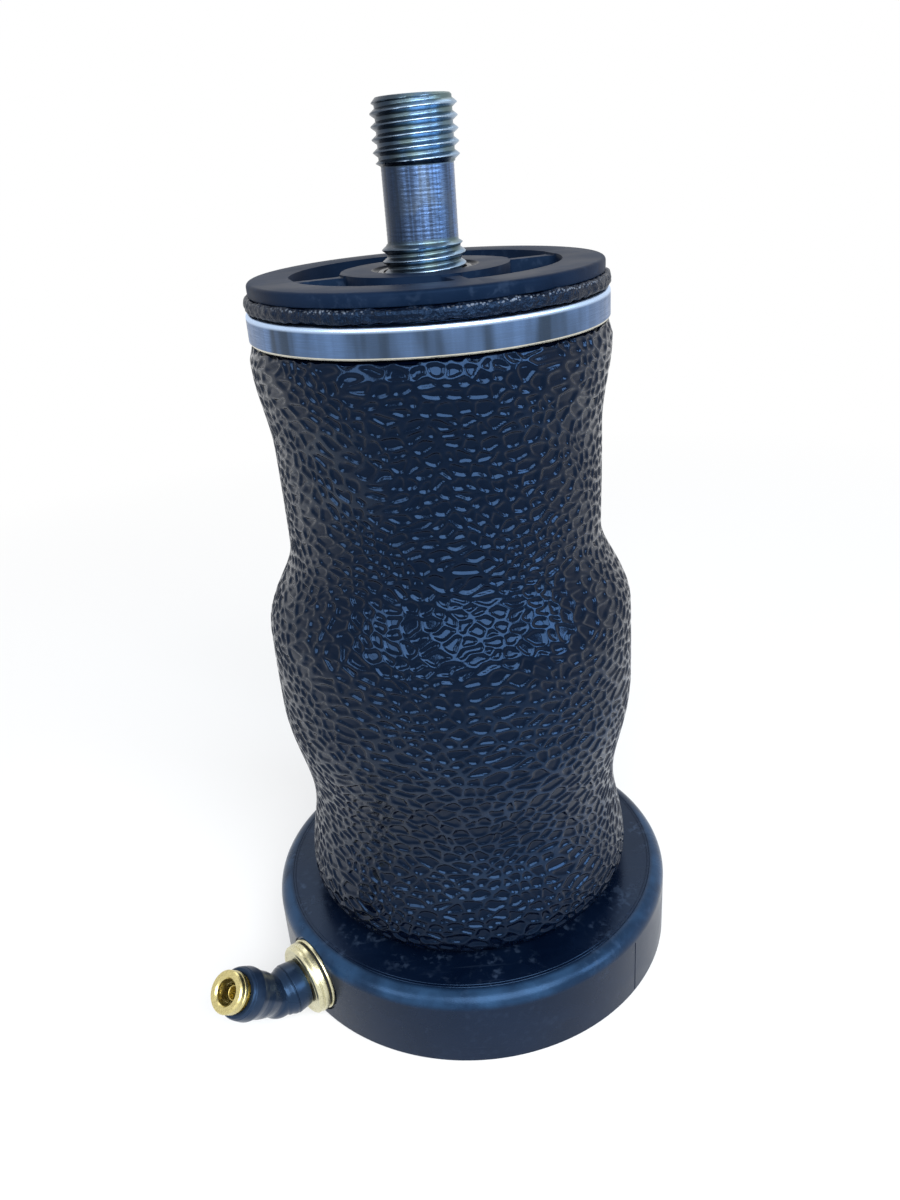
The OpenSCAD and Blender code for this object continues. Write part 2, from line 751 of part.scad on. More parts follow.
module elbow_body() {
    edge = 0.25;
    open_r = collar_r - collar_draft;
    step_end = collar_len + collar_step_len;
    root_start = waist_len + root_rise;
    root_end = root_start + root_len;
    ridge_start = root_end + ridge_rise;
    ridge_end = ridge_start + ridge_len;
    color("#1b2330")
    difference() {
        union() {
            at_port(elbow_start) rotate_extrude()
                polygon([[0, 0], [open_r - edge, 0], [open_r, edge], [collar_r, collar_len],
                    [collar_step_r + edge, collar_len + edge], [collar_step_r, step_end],
                    [elbow_waist_r, corner_s - elbow_start], [0, corner_s - elbow_start]]);
            at_port(corner_s) sphere(elbow_waist_r + elbow_swell);
            at_leg(0) rotate_extrude()
                polygon([
                    [0, 0], [elbow_waist_r, 0], [elbow_waist_r, waist_len],
                    [socket_root_r, root_start], [socket_root_r, root_end],
                    [socket_r, ridge_start], [socket_r, ridge_end],
                    [socket_r - socket_taper / 3, (ridge_end + socket_face) / 2],
                    [socket_r - socket_taper, socket_face], [0, socket_face]
                ]);
        }
        at_port(elbow_start - cut)
            cylinder(r = post_r + run_gap, h = post_end - elbow_start + cut + stop_gap);
        at_port(elbow_start)
            cylinder(r = elbow_air_r, h = corner_s - elbow_start + elbow_air_r / 2);
        at_leg(-elbow_air_r / 2) cylinder(r = elbow_air_r, h = socket_face);
        at_leg(tube_stop) cylinder(r = tube_r + run_gap, h = socket_face);
        at_leg(seal_bottom) cylinder(r = socket_bore_r, h = socket_face);
    }
}

module tube_support() {
    color("#cdb365")
    at_leg(tube_stop + seat_gap) difference() {
        union() {
            cylinder(r = support_r, h = collet_face - support_depth - tube_stop - seat_gap);
            cylinder(r = tube_r, h = support_foot);
        }
        translate([0, 0, -cut]) cylinder(r = support_r - support_wall, h = big);
    }
}

module tube_o_ring() {
    color("#111417")
    at_leg(seal_z) o_ring(tube_r + seal_r, seal_r);
}

module grab_ring() {
    teeth = 8;
    slit = 0.4;
    r = socket_bore_r - seat_gap;
    bend_r = (r + tube_r) / 2;
    color("#d0d3d6")
    at_leg(grab_z) difference() {
        rotate_extrude()
            polygon([
                [r, grab_rise], [r, grab_rise + grab_t], [bend_r, grab_rise + grab_t],
                [tube_r, grab_t], [tube_r, 0], [bend_r, grab_rise]
            ]);
        for (i = [0 : teeth - 1])
            rotate([0, 0, i * 360 / teeth])
                translate([0, -slit / 2, -cut]) cube([bend_r, slit, 2 * cut + grab_t + grab_rise]);
    }
}

module collet_cartridge() {
    color("#c2a85a")
    at_leg(cartridge_z)
        ring(socket_bore_r - seat_gap, collet_r + run_gap, socket_face - cartridge_z);
}

module release_collet() {
    relief_r = collet_bore_r + collet_relief;
    edge = 0.25;
    color("#d2b96c")
    at_leg(0) rotate_extrude()
        polygon([
            [relief_r, collet_nose], [collet_r - edge, collet_nose], [collet_r, collet_nose + edge],
            [collet_r, collet_back], [collet_flange_r - edge, collet_back],
            [collet_flange_r, collet_back + edge], [collet_flange_r, collet_face - edge],
            [collet_flange_r - edge, collet_face], [collet_bore_r + collet_bevel, collet_face],
            [collet_bore_r, collet_face - collet_bevel], [collet_bore_r, guide_end],
            [relief_r, guide_end - collet_relief]
        ]);
}

base_disc();
mounting_insert();
piston();
piston_o_ring();
piston_screws();
bump_stop();
rubber_sleeve();
lower_crimp_ring();
upper_crimp_ring();
end_cap();
stud();
stud_o_ring();
port_insert();
port_gasket();
port_stem();
stem_o_ring();
elbow_body();
tube_support();
tube_o_ring();
grab_ring();
collet_cartridge();
release_collet();
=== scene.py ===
"""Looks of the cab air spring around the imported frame.

Lengths are in millimetres until a mesh is made. Inside a material, and for the lamps and the camera, they are metres.
"""
import json
import math

import bmesh
import bpy
import numpy as np
from mathutils import Matrix, Vector


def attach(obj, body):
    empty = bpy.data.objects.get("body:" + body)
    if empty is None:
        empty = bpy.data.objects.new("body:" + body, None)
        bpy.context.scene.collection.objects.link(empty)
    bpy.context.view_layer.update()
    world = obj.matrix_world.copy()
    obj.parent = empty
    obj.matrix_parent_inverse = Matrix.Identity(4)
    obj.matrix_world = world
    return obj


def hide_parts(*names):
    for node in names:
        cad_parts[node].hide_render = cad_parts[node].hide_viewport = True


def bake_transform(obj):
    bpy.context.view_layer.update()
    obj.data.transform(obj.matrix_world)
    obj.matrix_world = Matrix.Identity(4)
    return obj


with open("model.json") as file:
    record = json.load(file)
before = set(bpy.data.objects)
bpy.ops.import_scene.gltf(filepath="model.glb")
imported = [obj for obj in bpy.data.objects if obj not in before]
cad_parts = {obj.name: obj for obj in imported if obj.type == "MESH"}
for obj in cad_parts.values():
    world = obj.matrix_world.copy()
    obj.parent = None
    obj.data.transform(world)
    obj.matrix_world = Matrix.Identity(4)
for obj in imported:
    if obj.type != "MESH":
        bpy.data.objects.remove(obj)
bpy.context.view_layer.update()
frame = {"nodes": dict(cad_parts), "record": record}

MM = 0.001
TURN = 2 * math.pi

# Sizes that the finishes and the meshes share
BASE_R, BASE_TOP, BASE_FILLET = 57.5, 22.2, 4.0
RING_LOW, RING_HIGH, RING_R, RING_CURL = 178.0, 184.6, 42.1, 1.4
CAP_TOP, CAP_R, HUB_R, SEAL_R = 191.0, 41.0, 19.5, 12.4
LOW_THREAD, HIGH_THREAD = (189.6, 196.6), (212.4, 226.0)
PITCH, CREST, ROOT, SHANK = 2.54, 9.525, 8.45, 8.1

# What a black finish mirrors is bluish; the scuff marks on it are painted bluish and lighter too, as a sheen
BLACK_TINT = (0.28, 0.54, 1.0)
SCUFF_AND_SHEEN = (0.030, 0.048, 0.085)


# Materials


class Nodes:
    """Adds nodes to a tree; their inputs are sockets or plain values."""

    def __init__(self, tree):
        self.tree = tree

    def set(self, node, values):
        for key, value in values.items():
            socket = node.inputs[key]
            if isinstance(value, bpy.types.NodeSocket):
                self.tree.links.new(value, socket)
            elif socket.type == "RGBA" and len(value) == 3:
                socket.default_value = (*value, 1)
            else:
                socket.default_value = value

    def node(self, kind, values=None, **props):
        node = self.tree.nodes.new(kind)
        for key, value in props.items():
            setattr(node, key, value)
        self.set(node, values or {})
        return node

    def math(self, operation, a, b):
        return self.node("ShaderNodeMath", {0: a, 1: b}, operation=operation).outputs[0]

    def sees_white(self):
        """1 for the rays that see the white background: camera, glossy and transmission rays."""
        rays = self.node("ShaderNodeLightPath").outputs
        seen = self.math("MAXIMUM", rays["Is Camera Ray"], rays["Is Glossy Ray"])
        return self.math("MAXIMUM", seen, rays["Is Transmission Ray"])


class Surface(Nodes):
    """A principled material with what its looks are mixed from."""

    def __init__(self, name, **sockets):
        self.mat = bpy.data.materials.new(name)
        self.mat.use_nodes = True
        super().__init__(self.mat.node_tree)
        self.shader = self.tree.nodes["Principled BSDF"]
        self.place = self.node("ShaderNodeTexCoord").outputs["Object"]
        self.set(self.shader, sockets)

    def stretched(self, x, y, z, where=None):
        node = self.node("ShaderNodeMapping", {"Vector": where or self.place, "Scale": (x, y, z)})
        return node.outputs[0]

    def around(self):
        """Turn about Z, radius and height, so that marks can run round the axis."""
        axes = self.node("ShaderNodeSeparateXYZ", {0: self.place}).outputs
        flat = self.node("ShaderNodeCombineXYZ", {0: axes[0], 1: axes[1], 2: 0.0}).outputs[0]
        radius = self.node("ShaderNodeVectorMath", {0: flat}, operation="LENGTH").outputs["Value"]
        unit = self.node("ShaderNodeVectorMath", {0: flat}, operation="NORMALIZE").outputs[0]
        way = self.node("ShaderNodeSeparateXYZ", {0: unit}).outputs
        spun = self.node("ShaderNodeCombineXYZ", {0: way[0], 1: way[1], 2: axes[2]}).outputs[0]
        return spun, radius, axes[2]

    def noise(self, where, scale, detail=2.0, distortion=0.0):
        values = {"Vector": where, "Scale": scale, "Detail": detail, "Distortion": distortion}
        return self.node("ShaderNodeTexNoise", values).outputs["Fac"]

    def span(self, value, low, high, to_low=0.0, to_high=1.0):
        values = {0: value, 1: low, 2: high, 3: to_low, 4: to_high}
        return self.node("ShaderNodeMapRange", values, interpolation_type="SMOOTHSTEP").outputs[0]

    def mix(self, share, a, b):
        node = self.node("ShaderNodeMix", {0: share}, data_type="RGBA")
        for socket, value in ((node.inputs[6], a), (node.inputs[7], b)):
            if isinstance(value, bpy.types.NodeSocket):
                self.tree.links.new(value, socket)
            else:
                socket.default_value = (*value, 1)
        return node.outputs[2]

    def bump(self, height, distance, under=None):
        values = {"Height": height, "Distance": distance, "Strength": 1.0}
        if under:
            values["Normal"] = under
        return self.node("ShaderNodeBump", values).outputs[0]

    def finished(self, colour, roughness, normal):
        self.set(self.shader, {"Base Color": colour, "Roughness": roughness, "Normal": normal})
        return self.mat


def moulded(name, dark, light, rough, grain, scuff_and_sheen, gloss=0.16, polished=None, rim_highlight=None, dust_and_sheen_from=-1000):
    """Moulded plastic with a fine grain, blotchy gloss, and scuff marks, partly real and partly a painted bluish
    sheen, stronger above the height dust_and_sheen_from.

    polished = (radius, from, to) is a shiny seat round Z that fades in between two heights. rim_highlight =
    (radius, height) is where a rim is painted lighter as a highlight, outwards and upwards.
    """
    s = Surface(name, **{"Specular IOR Level": gloss, "Specular Tint": BLACK_TINT})
    blotch = s.noise(s.place, 55, 4, 0.6)
    fine = s.noise(s.place, 1900, 2)
    mottle = s.noise(s.place, 520, 8, 0.3)
    worn_and_sheen = s.math("MULTIPLY", s.span(mottle, 0.5, 0.7), s.span(s.noise(s.place, 62, 5, 0.5), 0.42, 0.6))
    radius, height = s.around()[1:]
    worn_and_sheen = s.math("MULTIPLY", worn_and_sheen, s.span(height, dust_and_sheen_from * MM, (dust_and_sheen_from + 2) * MM, 0.15, 1.0))
    scratch = s.span(s.noise(s.stretched(30, 900, 500), 1.0, 3, 1.0), 0.66, 0.74)
    share = s.math("MULTIPLY", worn_and_sheen, scuff_and_sheen)
    colour = s.mix(s.span(blotch, 0.3, 0.7), dark, light)
    # The scuff marks are lighter and bluish: partly real, partly a painted sheen.
    colour = s.mix(s.math("MAXIMUM", share, s.math("MULTIPLY", scratch, 0.25 * scuff_and_sheen)), colour, SCUFF_AND_SHEEN)
    # Painted highlight: a rounded rim is made lighter and bluish, outwards from a radius and upwards from a height.
    if rim_highlight:
        rim = s.math("MULTIPLY", s.span(radius, rim_highlight[0] * MM, (rim_highlight[0] + 1.6) * MM),
                     s.span(height, rim_highlight[1] * MM, (rim_highlight[1] + 2.2) * MM))
        rim = s.math("MULTIPLY", rim, s.span(s.noise(s.place, 85, 5, 0.4), 0.35, 0.65, 0.25, 1.0))
        colour = s.mix(rim, colour, (0.013, 0.035, 0.076))
    shine = s.span(blotch, 0.3, 0.7, rough - 0.05, rough + 0.06)
    shine = s.math("ADD", shine, s.math("MULTIPLY", worn_and_sheen, 0.16 * scuff_and_sheen))
    if polished:
        seat = s.math("MULTIPLY", s.span(radius, (polished[0] + 0.4) * MM, polished[0] * MM),
                      s.span(height, polished[1] * MM, polished[2] * MM))
        colour = s.mix(seat, colour, (0.002, 0.003, 0.006))
        shine = s.node("ShaderNodeMix", {0: seat, 2: shine, 3: 0.16}).outputs[0]
    skin = s.math("ADD", s.math("MULTIPLY", fine, 0.35), s.math("MULTIPLY", blotch, 0.65))
    return s.finished(colour, shine, s.bump(skin, grain * MM))


def rubber(name, dark, light, rough):
    """Plain rubber with a little bloom."""
    s = Surface(name, **{"Specular IOR Level": 0.2, "Specular Tint": BLACK_TINT})
    fine = s.noise(s.place, 2600, 3)
    bloom = s.span(s.noise(s.place, 38, 4, 0.4), 0.3, 0.7)
    gloss = s.math("ADD", s.span(bloom, 0.0, 1.0, rough - 0.04, rough + 0.07), s.span(fine, 0.3, 0.7, -0.03, 0.03))
    return s.finished(s.mix(bloom, dark, light), gloss, s.bump(fine, 0.012 * MM))


def cover_rubber():
    """The sleeve: shiny cells, dusty ridges that are also painted lighter as a reflection, and cord ends in its cut
    end.

    The ridges are lighter below the bulge, in a patch at the upper left and along its left side, and a little all
    over: partly dusty, partly a painted reflection, brownish on the left and a bluish sheen on the right.
    """
    s = Surface("sleeve_rubber", **{"Specular IOR Level": 0.29, "Specular Tint": (0.25, 0.50, 1.0)})
    ridge = s.node("ShaderNodeAttribute", attribute_name="relief").outputs["Fac"]
    cut = s.node("ShaderNodeAttribute", attribute_name="cut").outputs["Fac"]
    cord = s.node("ShaderNodeAttribute", attribute_name="cord").outputs["Fac"]
    x, _, z = s.node("ShaderNodeSeparateXYZ", {0: s.place}).outputs
    cloud = s.noise(s.place, 34, 4, 0.5)
    fine = s.noise(s.place, 2600, 3)
    # Lighter ridges below the bulge, at the upper left and along the left edge: dusty, and also a painted reflection
    # of a brownish floor.
    low = s.math("MULTIPLY", s.span(z, 0.112, 0.080, 0.0, 0.6), s.span(z, 0.034, 0.050, 0.25, 1.0))
    patch = s.math("MULTIPLY", s.span(x, -0.008, -0.026), s.span(z, 0.168, 0.160, 0.0, 0.8))
    patch = s.math("MULTIPLY", patch, s.span(z, 0.136, 0.148))
    edge = s.math("MULTIPLY", s.span(x, -0.030, -0.038), s.span(z, 0.172, 0.160, 0.0, 0.5))
    low = s.math("MAXIMUM", low, edge)
    dust_and_reflection_zone = s.math("MAXIMUM", s.math("MAXIMUM", low, patch), s.span(cloud, 0.5, 0.72, 0.02, 0.22))
    dust_and_reflection_zone = s.math("MULTIPLY", dust_and_reflection_zone, s.span(s.noise(s.place, 120, 3, 0.5), 0.3, 0.65, 0.4, 1.0))
    dust_and_reflection = s.math("MULTIPLY", s.span(ridge, 0.7, 1.0), dust_and_reflection_zone)
    # The ridge colour goes from brownish grey on the left to a bluish painted sheen on the right.
    film = s.mix(s.span(x, -0.02, 0.02), (0.020, 0.023, 0.028), (0.008, 0.019, 0.042))
    colour = s.mix(dust_and_reflection, (0.0001, 0.0008, 0.0040), film)
    dots = s.node("ShaderNodeTexVoronoi", {"Vector": s.place, "Scale": 1500.0}).outputs["Distance"]
    thread = s.math("MULTIPLY", cord, s.span(dots, 0.5, 0.25))
    thread = s.math("MULTIPLY", thread, s.span(s.noise(s.place, 45, 2, 0.3), 0.42, 0.6, 0.25, 1.0))
    lint = s.math("MULTIPLY", cut, s.span(s.noise(s.place, 1300, 5, 1.0), 0.63, 0.78))
    colour = s.mix(s.math("MAXIMUM", thread, s.math("MULTIPLY", lint, 0.15)), colour, (0.17, 0.20, 0.25))
    gloss = s.math("ADD", s.span(dust_and_reflection, 0.0, 1.0, 0.13, 0.4), s.span(fine, 0.3, 0.7, -0.03, 0.03))
    gloss = s.math("ADD", gloss, s.math("MULTIPLY", cut, 0.26))
    torn = s.bump(s.math("MULTIPLY", cut, s.noise(s.place, 900, 4, 0.8)), 0.5 * MM)
    return s.finished(colour, gloss, s.bump(fine, 0.012 * MM, under=torn))


def turned(name, base, stain, rough, pitch, marks, stained=0.4, radial=None):
    """Metal turned on a lathe, with marks round Z, or for the air port's pieces with radial's stretched grain."""
    s = Surface(name, Metallic=1.0)
    if radial:
        lines = s.noise(s.stretched(*radial), 1.0, 3)
    else:
        lines = s.noise(s.stretched(6, 6, 1 / (pitch * MM), s.around()[0]), 1.0, 3)
    tarnish = s.math("MULTIPLY", s.span(s.noise(s.place, 160, 4, 0.5), 0.42, 0.68), stained)
    colour = s.mix(s.span(lines, 0.3, 0.7), [0.88 * c for c in base], [min(1, 1.08 * c) for c in base])
    colour = s.mix(tarnish, colour, stain)
    gloss = s.math("ADD", s.span(lines, 0.25, 0.75, rough - 0.04, rough + 0.06), s.math("MULTIPLY", tarnish, 0.15))
    return s.finished(colour, gloss, s.bump(lines, marks * MM))


def crimp_metal():
    """Brushed aluminium with painted reflection bands round it, and burnished edges that are also painted lighter as
    highlights.
    """
    s = Surface("crimp_aluminium", Metallic=1.0, Anisotropic=0.7)
    tangent = s.node("ShaderNodeTangent", direction_type="RADIAL", axis="Z")
    s.set(s.shader, {"Tangent": tangent.outputs[0]})
    spun, _, height = s.around()
    lines = s.noise(s.stretched(6, 6, 6200, spun), 1.0, 3)
    reflection_bands = s.noise(s.stretched(4.5, 4.5, 30, spun), 1.0, 2, 0.3)
    reflection_bars = s.noise(s.stretched(15, 15, 10, spun), 1.0, 3)
    # Painted reflection: wide bands and stripes round the ring, from dark to bright blue.
    tone = s.math("ADD", s.span(reflection_bands, 0.38, 0.62, 0.0, 0.75), s.span(reflection_bars, 0.38, 0.62, 0.0, 0.25))
    colour = s.mix(tone, (0.044, 0.070, 0.116), (0.128, 0.222, 0.42))
    colour = s.mix(s.span(lines, 0.35, 0.7, 0.0, 0.25), colour, (0.055, 0.072, 0.10))
    # Painted highlights on top of some burnish: the upper curl bluish, the lower edge cream.
    upper, lower = RING_HIGH - RING_CURL, RING_LOW + 0.6
    colour = s.mix(s.span(height, upper * MM, (upper + 0.6) * MM), colour, (0.46, 0.60, 0.82))
    colour = s.mix(s.span(height, lower * MM, (lower - 0.15) * MM), colour, (0.70, 0.68, 0.58))
    return s.finished(colour, s.span(lines, 0.25, 0.75, 0.24, 0.36), s.bump(lines, 0.012 * MM))


def stud_steel():
    """Zinc plate: bluish, with a yellow-green film low in the thread; painted shade in the thread roots and on one
    side, painted highlights on the crests and painted reflection stripes round it.
    """
    s = Surface("zinc_steel", Metallic=1.0)
    spun, radius, height = s.around()
    side = s.node("ShaderNodeSeparateXYZ", {0: spun}).outputs[0]
    lines = s.noise(s.stretched(5, 5, 5200, spun), 1.0, 3)
    reflection_bars = s.noise(s.stretched(9, 9, 12, spun), 1.0, 3, 0.4)
    cloud = s.noise(s.stretched(1, 1, 0.5), 210, 4, 0.6)
    streak = s.span(s.noise(s.stretched(190, 190, 40), 1.0, 4, 0.3), 0.5, 0.72)
    low = s.span(radius, 0.0093, (ROOT + 0.05) * MM)
    colour = s.mix(s.span(lines, 0.3, 0.7), (0.062, 0.114, 0.235), (0.125, 0.220, 0.440))
    # Painted reflection: dark stripes round the shank.
    colour = s.mix(s.math("MULTIPLY", s.span(reflection_bars, 0.4, 0.62), 0.65), colour, (0.034, 0.048, 0.078))
    colour = s.mix(s.math("MULTIPLY", s.span(cloud, 0.5, 0.7), 0.5), colour, (0.11, 0.145, 0.19))
    from_z, to_z = HIGH_THREAD[0] - 0.5, LOW_THREAD[1] + 0.8
    threaded = s.math("MAXIMUM", s.span(height, from_z * MM, (from_z + 0.8) * MM),
                      s.span(height, to_z * MM, (to_z - 0.8) * MM))
    colour = s.mix(s.math("MULTIPLY", threaded, 0.7), colour, (0.20, 0.33, 0.46))
    film = s.math("MULTIPLY", s.math("MULTIPLY", low, s.span(cloud, 0.38, 0.58)), threaded)
    # Painted shade: the thread roots are darker.
    colour = s.mix(s.math("MULTIPLY", s.math("MULTIPLY", low, threaded), 0.4), colour, (0.035, 0.055, 0.075))
    colour = s.mix(s.math("MULTIPLY", film, 0.45), colour, (0.12, 0.15, 0.07))
    colour = s.mix(s.math("MULTIPLY", streak, 0.35), colour, (0.05, 0.065, 0.09))
    # Painted highlight on the thread crests.
    colour = s.mix(s.span(radius, 0.0093, 0.00948, 0.0, 0.8), colour, (0.30, 0.40, 0.52))
    # Painted shade on the left side.
    colour = s.mix(s.span(side, 0.1, -0.7, 0.0, 0.85), colour, (0.014, 0.020, 0.034))
    gloss = s.math("ADD", s.span(lines, 0.3, 0.7, 0.24, 0.36), s.math("MULTIPLY", film, 0.1))
    return s.finished(colour, gloss, s.bump(lines, 0.02 * MM))


FINISH = {
    "black_nylon": moulded("black_nylon", (0.0006, 0.0026, 0.0096), (0.0013, 0.0042, 0.0138), 0.28, 0.05, 0.6, 0.31,
                           rim_highlight=(BASE_R - 4.3, BASE_TOP - 4.4), dust_and_sheen_from=BASE_TOP - 2.7),
    "cap_nylon": moulded("cap_nylon", (0.0014, 0.0050, 0.0150), (0.0040, 0.0095, 0.0240), 0.5, 0.06, 0.25, 0.08,
                         polished=(SEAL_R - 0.2, CAP_TOP - 2.5, CAP_TOP - 2.1)),
    "piston_nylon": moulded("piston_nylon", (0.022, 0.025, 0.029), (0.038, 0.041, 0.046), 0.5, 0.05, 0.2),
    "fitting_plastic": moulded("fitting_plastic", (0.0045, 0.0096, 0.0205), (0.0085, 0.0158, 0.0325),
                               0.28, 0.025, 0.12, 0.4),
    "sleeve_rubber": cover_rubber(),
    "bump_rubber": rubber("bump_rubber", (0.012, 0.013, 0.014), (0.024, 0.025, 0.026), 0.6),
    "seal_rubber": rubber("seal_rubber", (0.008, 0.008, 0.009), (0.016, 0.016, 0.017), 0.45),
    "crimp_aluminium": crimp_metal(),
    "zinc_steel": stud_steel(),
    "insert_steel": turned("insert_steel", (0.50, 0.51, 0.52), (0.3, 0.29, 0.27), 0.34, 0.3, 0.02, 0.3),
    "screw_steel": turned("screw_steel", (0.46, 0.47, 0.49), (0.3, 0.29, 0.25), 0.36, 0.3, 0.02, 0.3),
    "brass": turned("brass", (0.60, 0.52, 0.24), (0.38, 0.32, 0.15), 0.27, 0.2, 0.008, 0.2, (2600, 2600, 900)),
    "pale_brass": turned("pale_brass", (0.66, 0.62, 0.41), (0.42, 0.38, 0.24), 0.28, 0.2, 0.006, 0.2,
                         (2600, 2600, 900)),
    "spring_steel": turned("spring_steel", (0.70, 0.70, 0.71), (0.5, 0.48, 0.45), 0.25, 0.2, 0.01, 0.2),
}


# Meshes


def turns(columns):
    return np.arange(columns) * TURN / columns


def ease(t):
    return (1 - math.cos(math.pi * t)) / 2


def arc(cx, cy, r, a0, a1, steps):
    return [(cx + r * math.cos(math.radians(a0 + (a1 - a0) * k / steps)),
             cy + r * math.sin(math.radians(a0 + (a1 - a0) * k / steps))) for k in range(steps + 1)]


def turned_by(points, degrees):
    c, s = math.cos(math.radians(degrees)), math.sin(math.radians(degrees))
    return [(c * x - s * y, s * x + c * y) for x, y in points]


def rounded(points, steps=4):
    """Points (x, y) or (x, y, fillet radius) with each fillet turned into an arc."""
    out = []
    for i, p in enumerate(points):
        fillet = p[2] if len(p) > 2 else 0
        here = Vector(p[:2])
        a = Vector(points[i - 1][:2]) - here
        b = Vector(points[(i + 1) % len(points)][:2]) - here
        angle = a.angle(b) if fillet and a.length and b.length else math.pi
        if math.pi - angle < 0.01:
            out.append(tuple(here))
            continue
        reach = min(fillet / math.tan(angle / 2), 0.49 * a.length, 0.49 * b.length)
        a.normalize()
        b.normalize()
        radius = reach * math.tan(angle / 2)
        centre = here + (a + b).normalized() * radius / math.sin(angle / 2)
        one, two = here + a * reach - centre, here + b * reach - centre
        for k in range(steps + 1):
            t = k / steps
            way = one.slerp(two, t) if one.angle(two) > 1e-4 else one
            out.append(tuple(centre + way.normalized() * radius))
    return out


def revolve(rows, columns, place=Matrix.Identity(4), close=True):
    """A surface from rows of (radius, height) points or arrays of them; a row of radius 0 is one point."""
    turn = turns(columns)
    verts, index = [], []
    for r, z in rows:
        if np.isscalar(r) and r < 1e-6:
            index.append([len(verts)] * columns)
            verts.append((0.0, 0.0, float(z)))
            continue
        index.append(list(range(len(verts), len(verts) + columns)))
        x, y = r * np.cos(turn), r * np.sin(turn)
        verts.extend(zip(x, y, np.broadcast_to(z, (columns,))))
    faces = []
    pairs = list(zip(index, index[1:] + index[:1])) if close else list(zip(index, index[1:]))
    for low, high in pairs:
        for k in range(columns):
            n = (k + 1) % columns
            face = [low[k], low[n], high[n], high[k]]
            face = [v for i, v in enumerate(face) if v != face[i - 1]]
            if len(face) > 2:
                faces.append(face)
    mesh = bpy.data.meshes.new("m")
    mesh.from_pydata([place @ (Vector(v) * MM) for v in verts], [], faces)
    return mesh


def settle(obj):
    """Turns an object's modifiers into its mesh."""
    graph = bpy.context.evaluated_depsgraph_get()
    mesh = bpy.data.meshes.new_from_object(obj.evaluated_get(graph))
    obj.modifiers.clear()
    obj.data = mesh


def thing(name, mesh):
    mesh.name = name
    obj = bpy.data.objects.new(name, mesh)
    bpy.context.scene.collection.objects.link(obj)
    return obj


def outward(mesh):
    bm = bmesh.new()
    bm.from_mesh(mesh)
    bmesh.ops.recalc_face_normals(bm, faces=bm.faces)
    bm.to_mesh(mesh)
    bm.free()


def combine(obj, others, operation):
    """Joins or cuts obj with the others, which are used up."""
    for other in others:
        outward(other.data)
    outward(obj.data)
    for other in others:
        step = obj.modifiers.new("step", "BOOLEAN")
        step.operation, step.solver, step.object = operation, "EXACT", other
        settle(obj)
        bpy.data.objects.remove(other)


def soften(obj, width, angle):
    step = obj.modifiers.new("edge", "BEVEL")
    step.width, step.segments, step.limit_method = width * MM, 2, "ANGLE"
    step.angle_limit = math.radians(angle)
    settle(obj)


def finish_piece(obj, slot, body, *nodes, sharp=38, look=None):
    """Gives a piece its material, from look where given and else from its slot, and its body, and hides the nodes
    that it stands for.
    """
    outward(obj.data)
    obj.data.materials.clear()
    obj.data.materials.append(FINISH[look or slot])
    obj.data.shade_smooth()
    obj.data.set_sharp_from_angle(angle=math.radians(sharp))
    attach(obj, body)
    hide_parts(*nodes)


def lathe(name, points, slot, body, *nodes, place=Matrix.Identity(4), columns=128, look=None):
    finish_piece(thing(name, revolve(rounded(points), columns, place)), slot, body, *nodes, look=look)


def prism(outline, low, high, name="cutter"):
    """A straight prism over a closed outline."""
    n = len(outline)
    verts = [Vector((x, y, z)) * MM for z in (low, high) for x, y in outline]
    faces = [list(range(n)), list(range(n, 2 * n))]
    faces += [[i, (i + 1) % n, n + (i + 1) % n, n + i] for i in range(n)]
    mesh = bpy.data.meshes.new(name)
    mesh.from_pydata(verts, [], faces)
    return thing(name, mesh)


def joined(objects):
    """One object from several whose meshes don't touch."""
    bm = bmesh.new()
    for obj in objects:
        bm.from_mesh(obj.data)
        bpy.data.objects.remove(obj)
    mesh = bpy.data.meshes.new("joined")
    bm.to_mesh(mesh)
    bm.free()
    return thing("joined", mesh)


# The air port's places

PORT_AZIMUTH, PORT_Z = math.radians(-143), 11.4
ELBOW_TURN, ELBOW_BEND = math.radians(-9.5), math.radians(-45)
PORT_SEAT, FLANGE_SEAT, ELBOW_START, CORNER = 56.5, 58.0, 61.3, 69.0
INSERT_RIM, GASKET = 0.9, 0.6
SOCKET_FACE, COLLET_BACK, COLLET_FACE = 15.65, 16.8, 19.6
POST_R, SOCKET_R, KNEE_R = 4.56, 4.9, 5.6


def at_port(s):
    """The place with its Z out along the port's axis, s from the spring's axis."""
    turn = Matrix.Rotation(PORT_AZIMUTH, 4, "Z") @ Matrix.Translation((0, 0, PORT_Z * MM))
    return turn @ Matrix.Rotation(math.pi / 2, 4, "Y") @ Matrix.Translation((0, 0, s * MM))


def at_leg(u):
    """The place with its Z out along the tube's axis, u from the elbow's corner."""
    tilt = Matrix.Rotation(ELBOW_TURN, 4, "Z") @ Matrix.Rotation(ELBOW_BEND, 4, "Y")
    return at_port(CORNER) @ tilt @ Matrix.Translation((0, 0, u * MM))


# Rubber sleeve

COLUMNS, ROW_STEP, MEAN_R = 720, 0.31, 43
CELLS, CELL_TALL, CORNER_SHARP = 66, 2.75, 4.0
RIDGE, WALL_RUN, CELL_DEPTH = 0.22, 0.45, 0.46
TAB_TURN, TAB_R, TAB_LONG, TAB_Z = math.radians(-98), 42, 10.6, 187.0
CORD_Z = 187.5
SIDE = [
    (42.6, 174.0), (39.9, 152.0), (39.9, 128.0), (47.5, 106.2), (47.5, 84.2), (43.0, 53.2), (46.0, 29.225)
]
LOBE_R, LOBE_X, LOBE_Z, RUBBER_WALL = 6.225, 39.775, 29.225, 2.6
LEG_IN, LEG_OUT = 33.55, 36.15


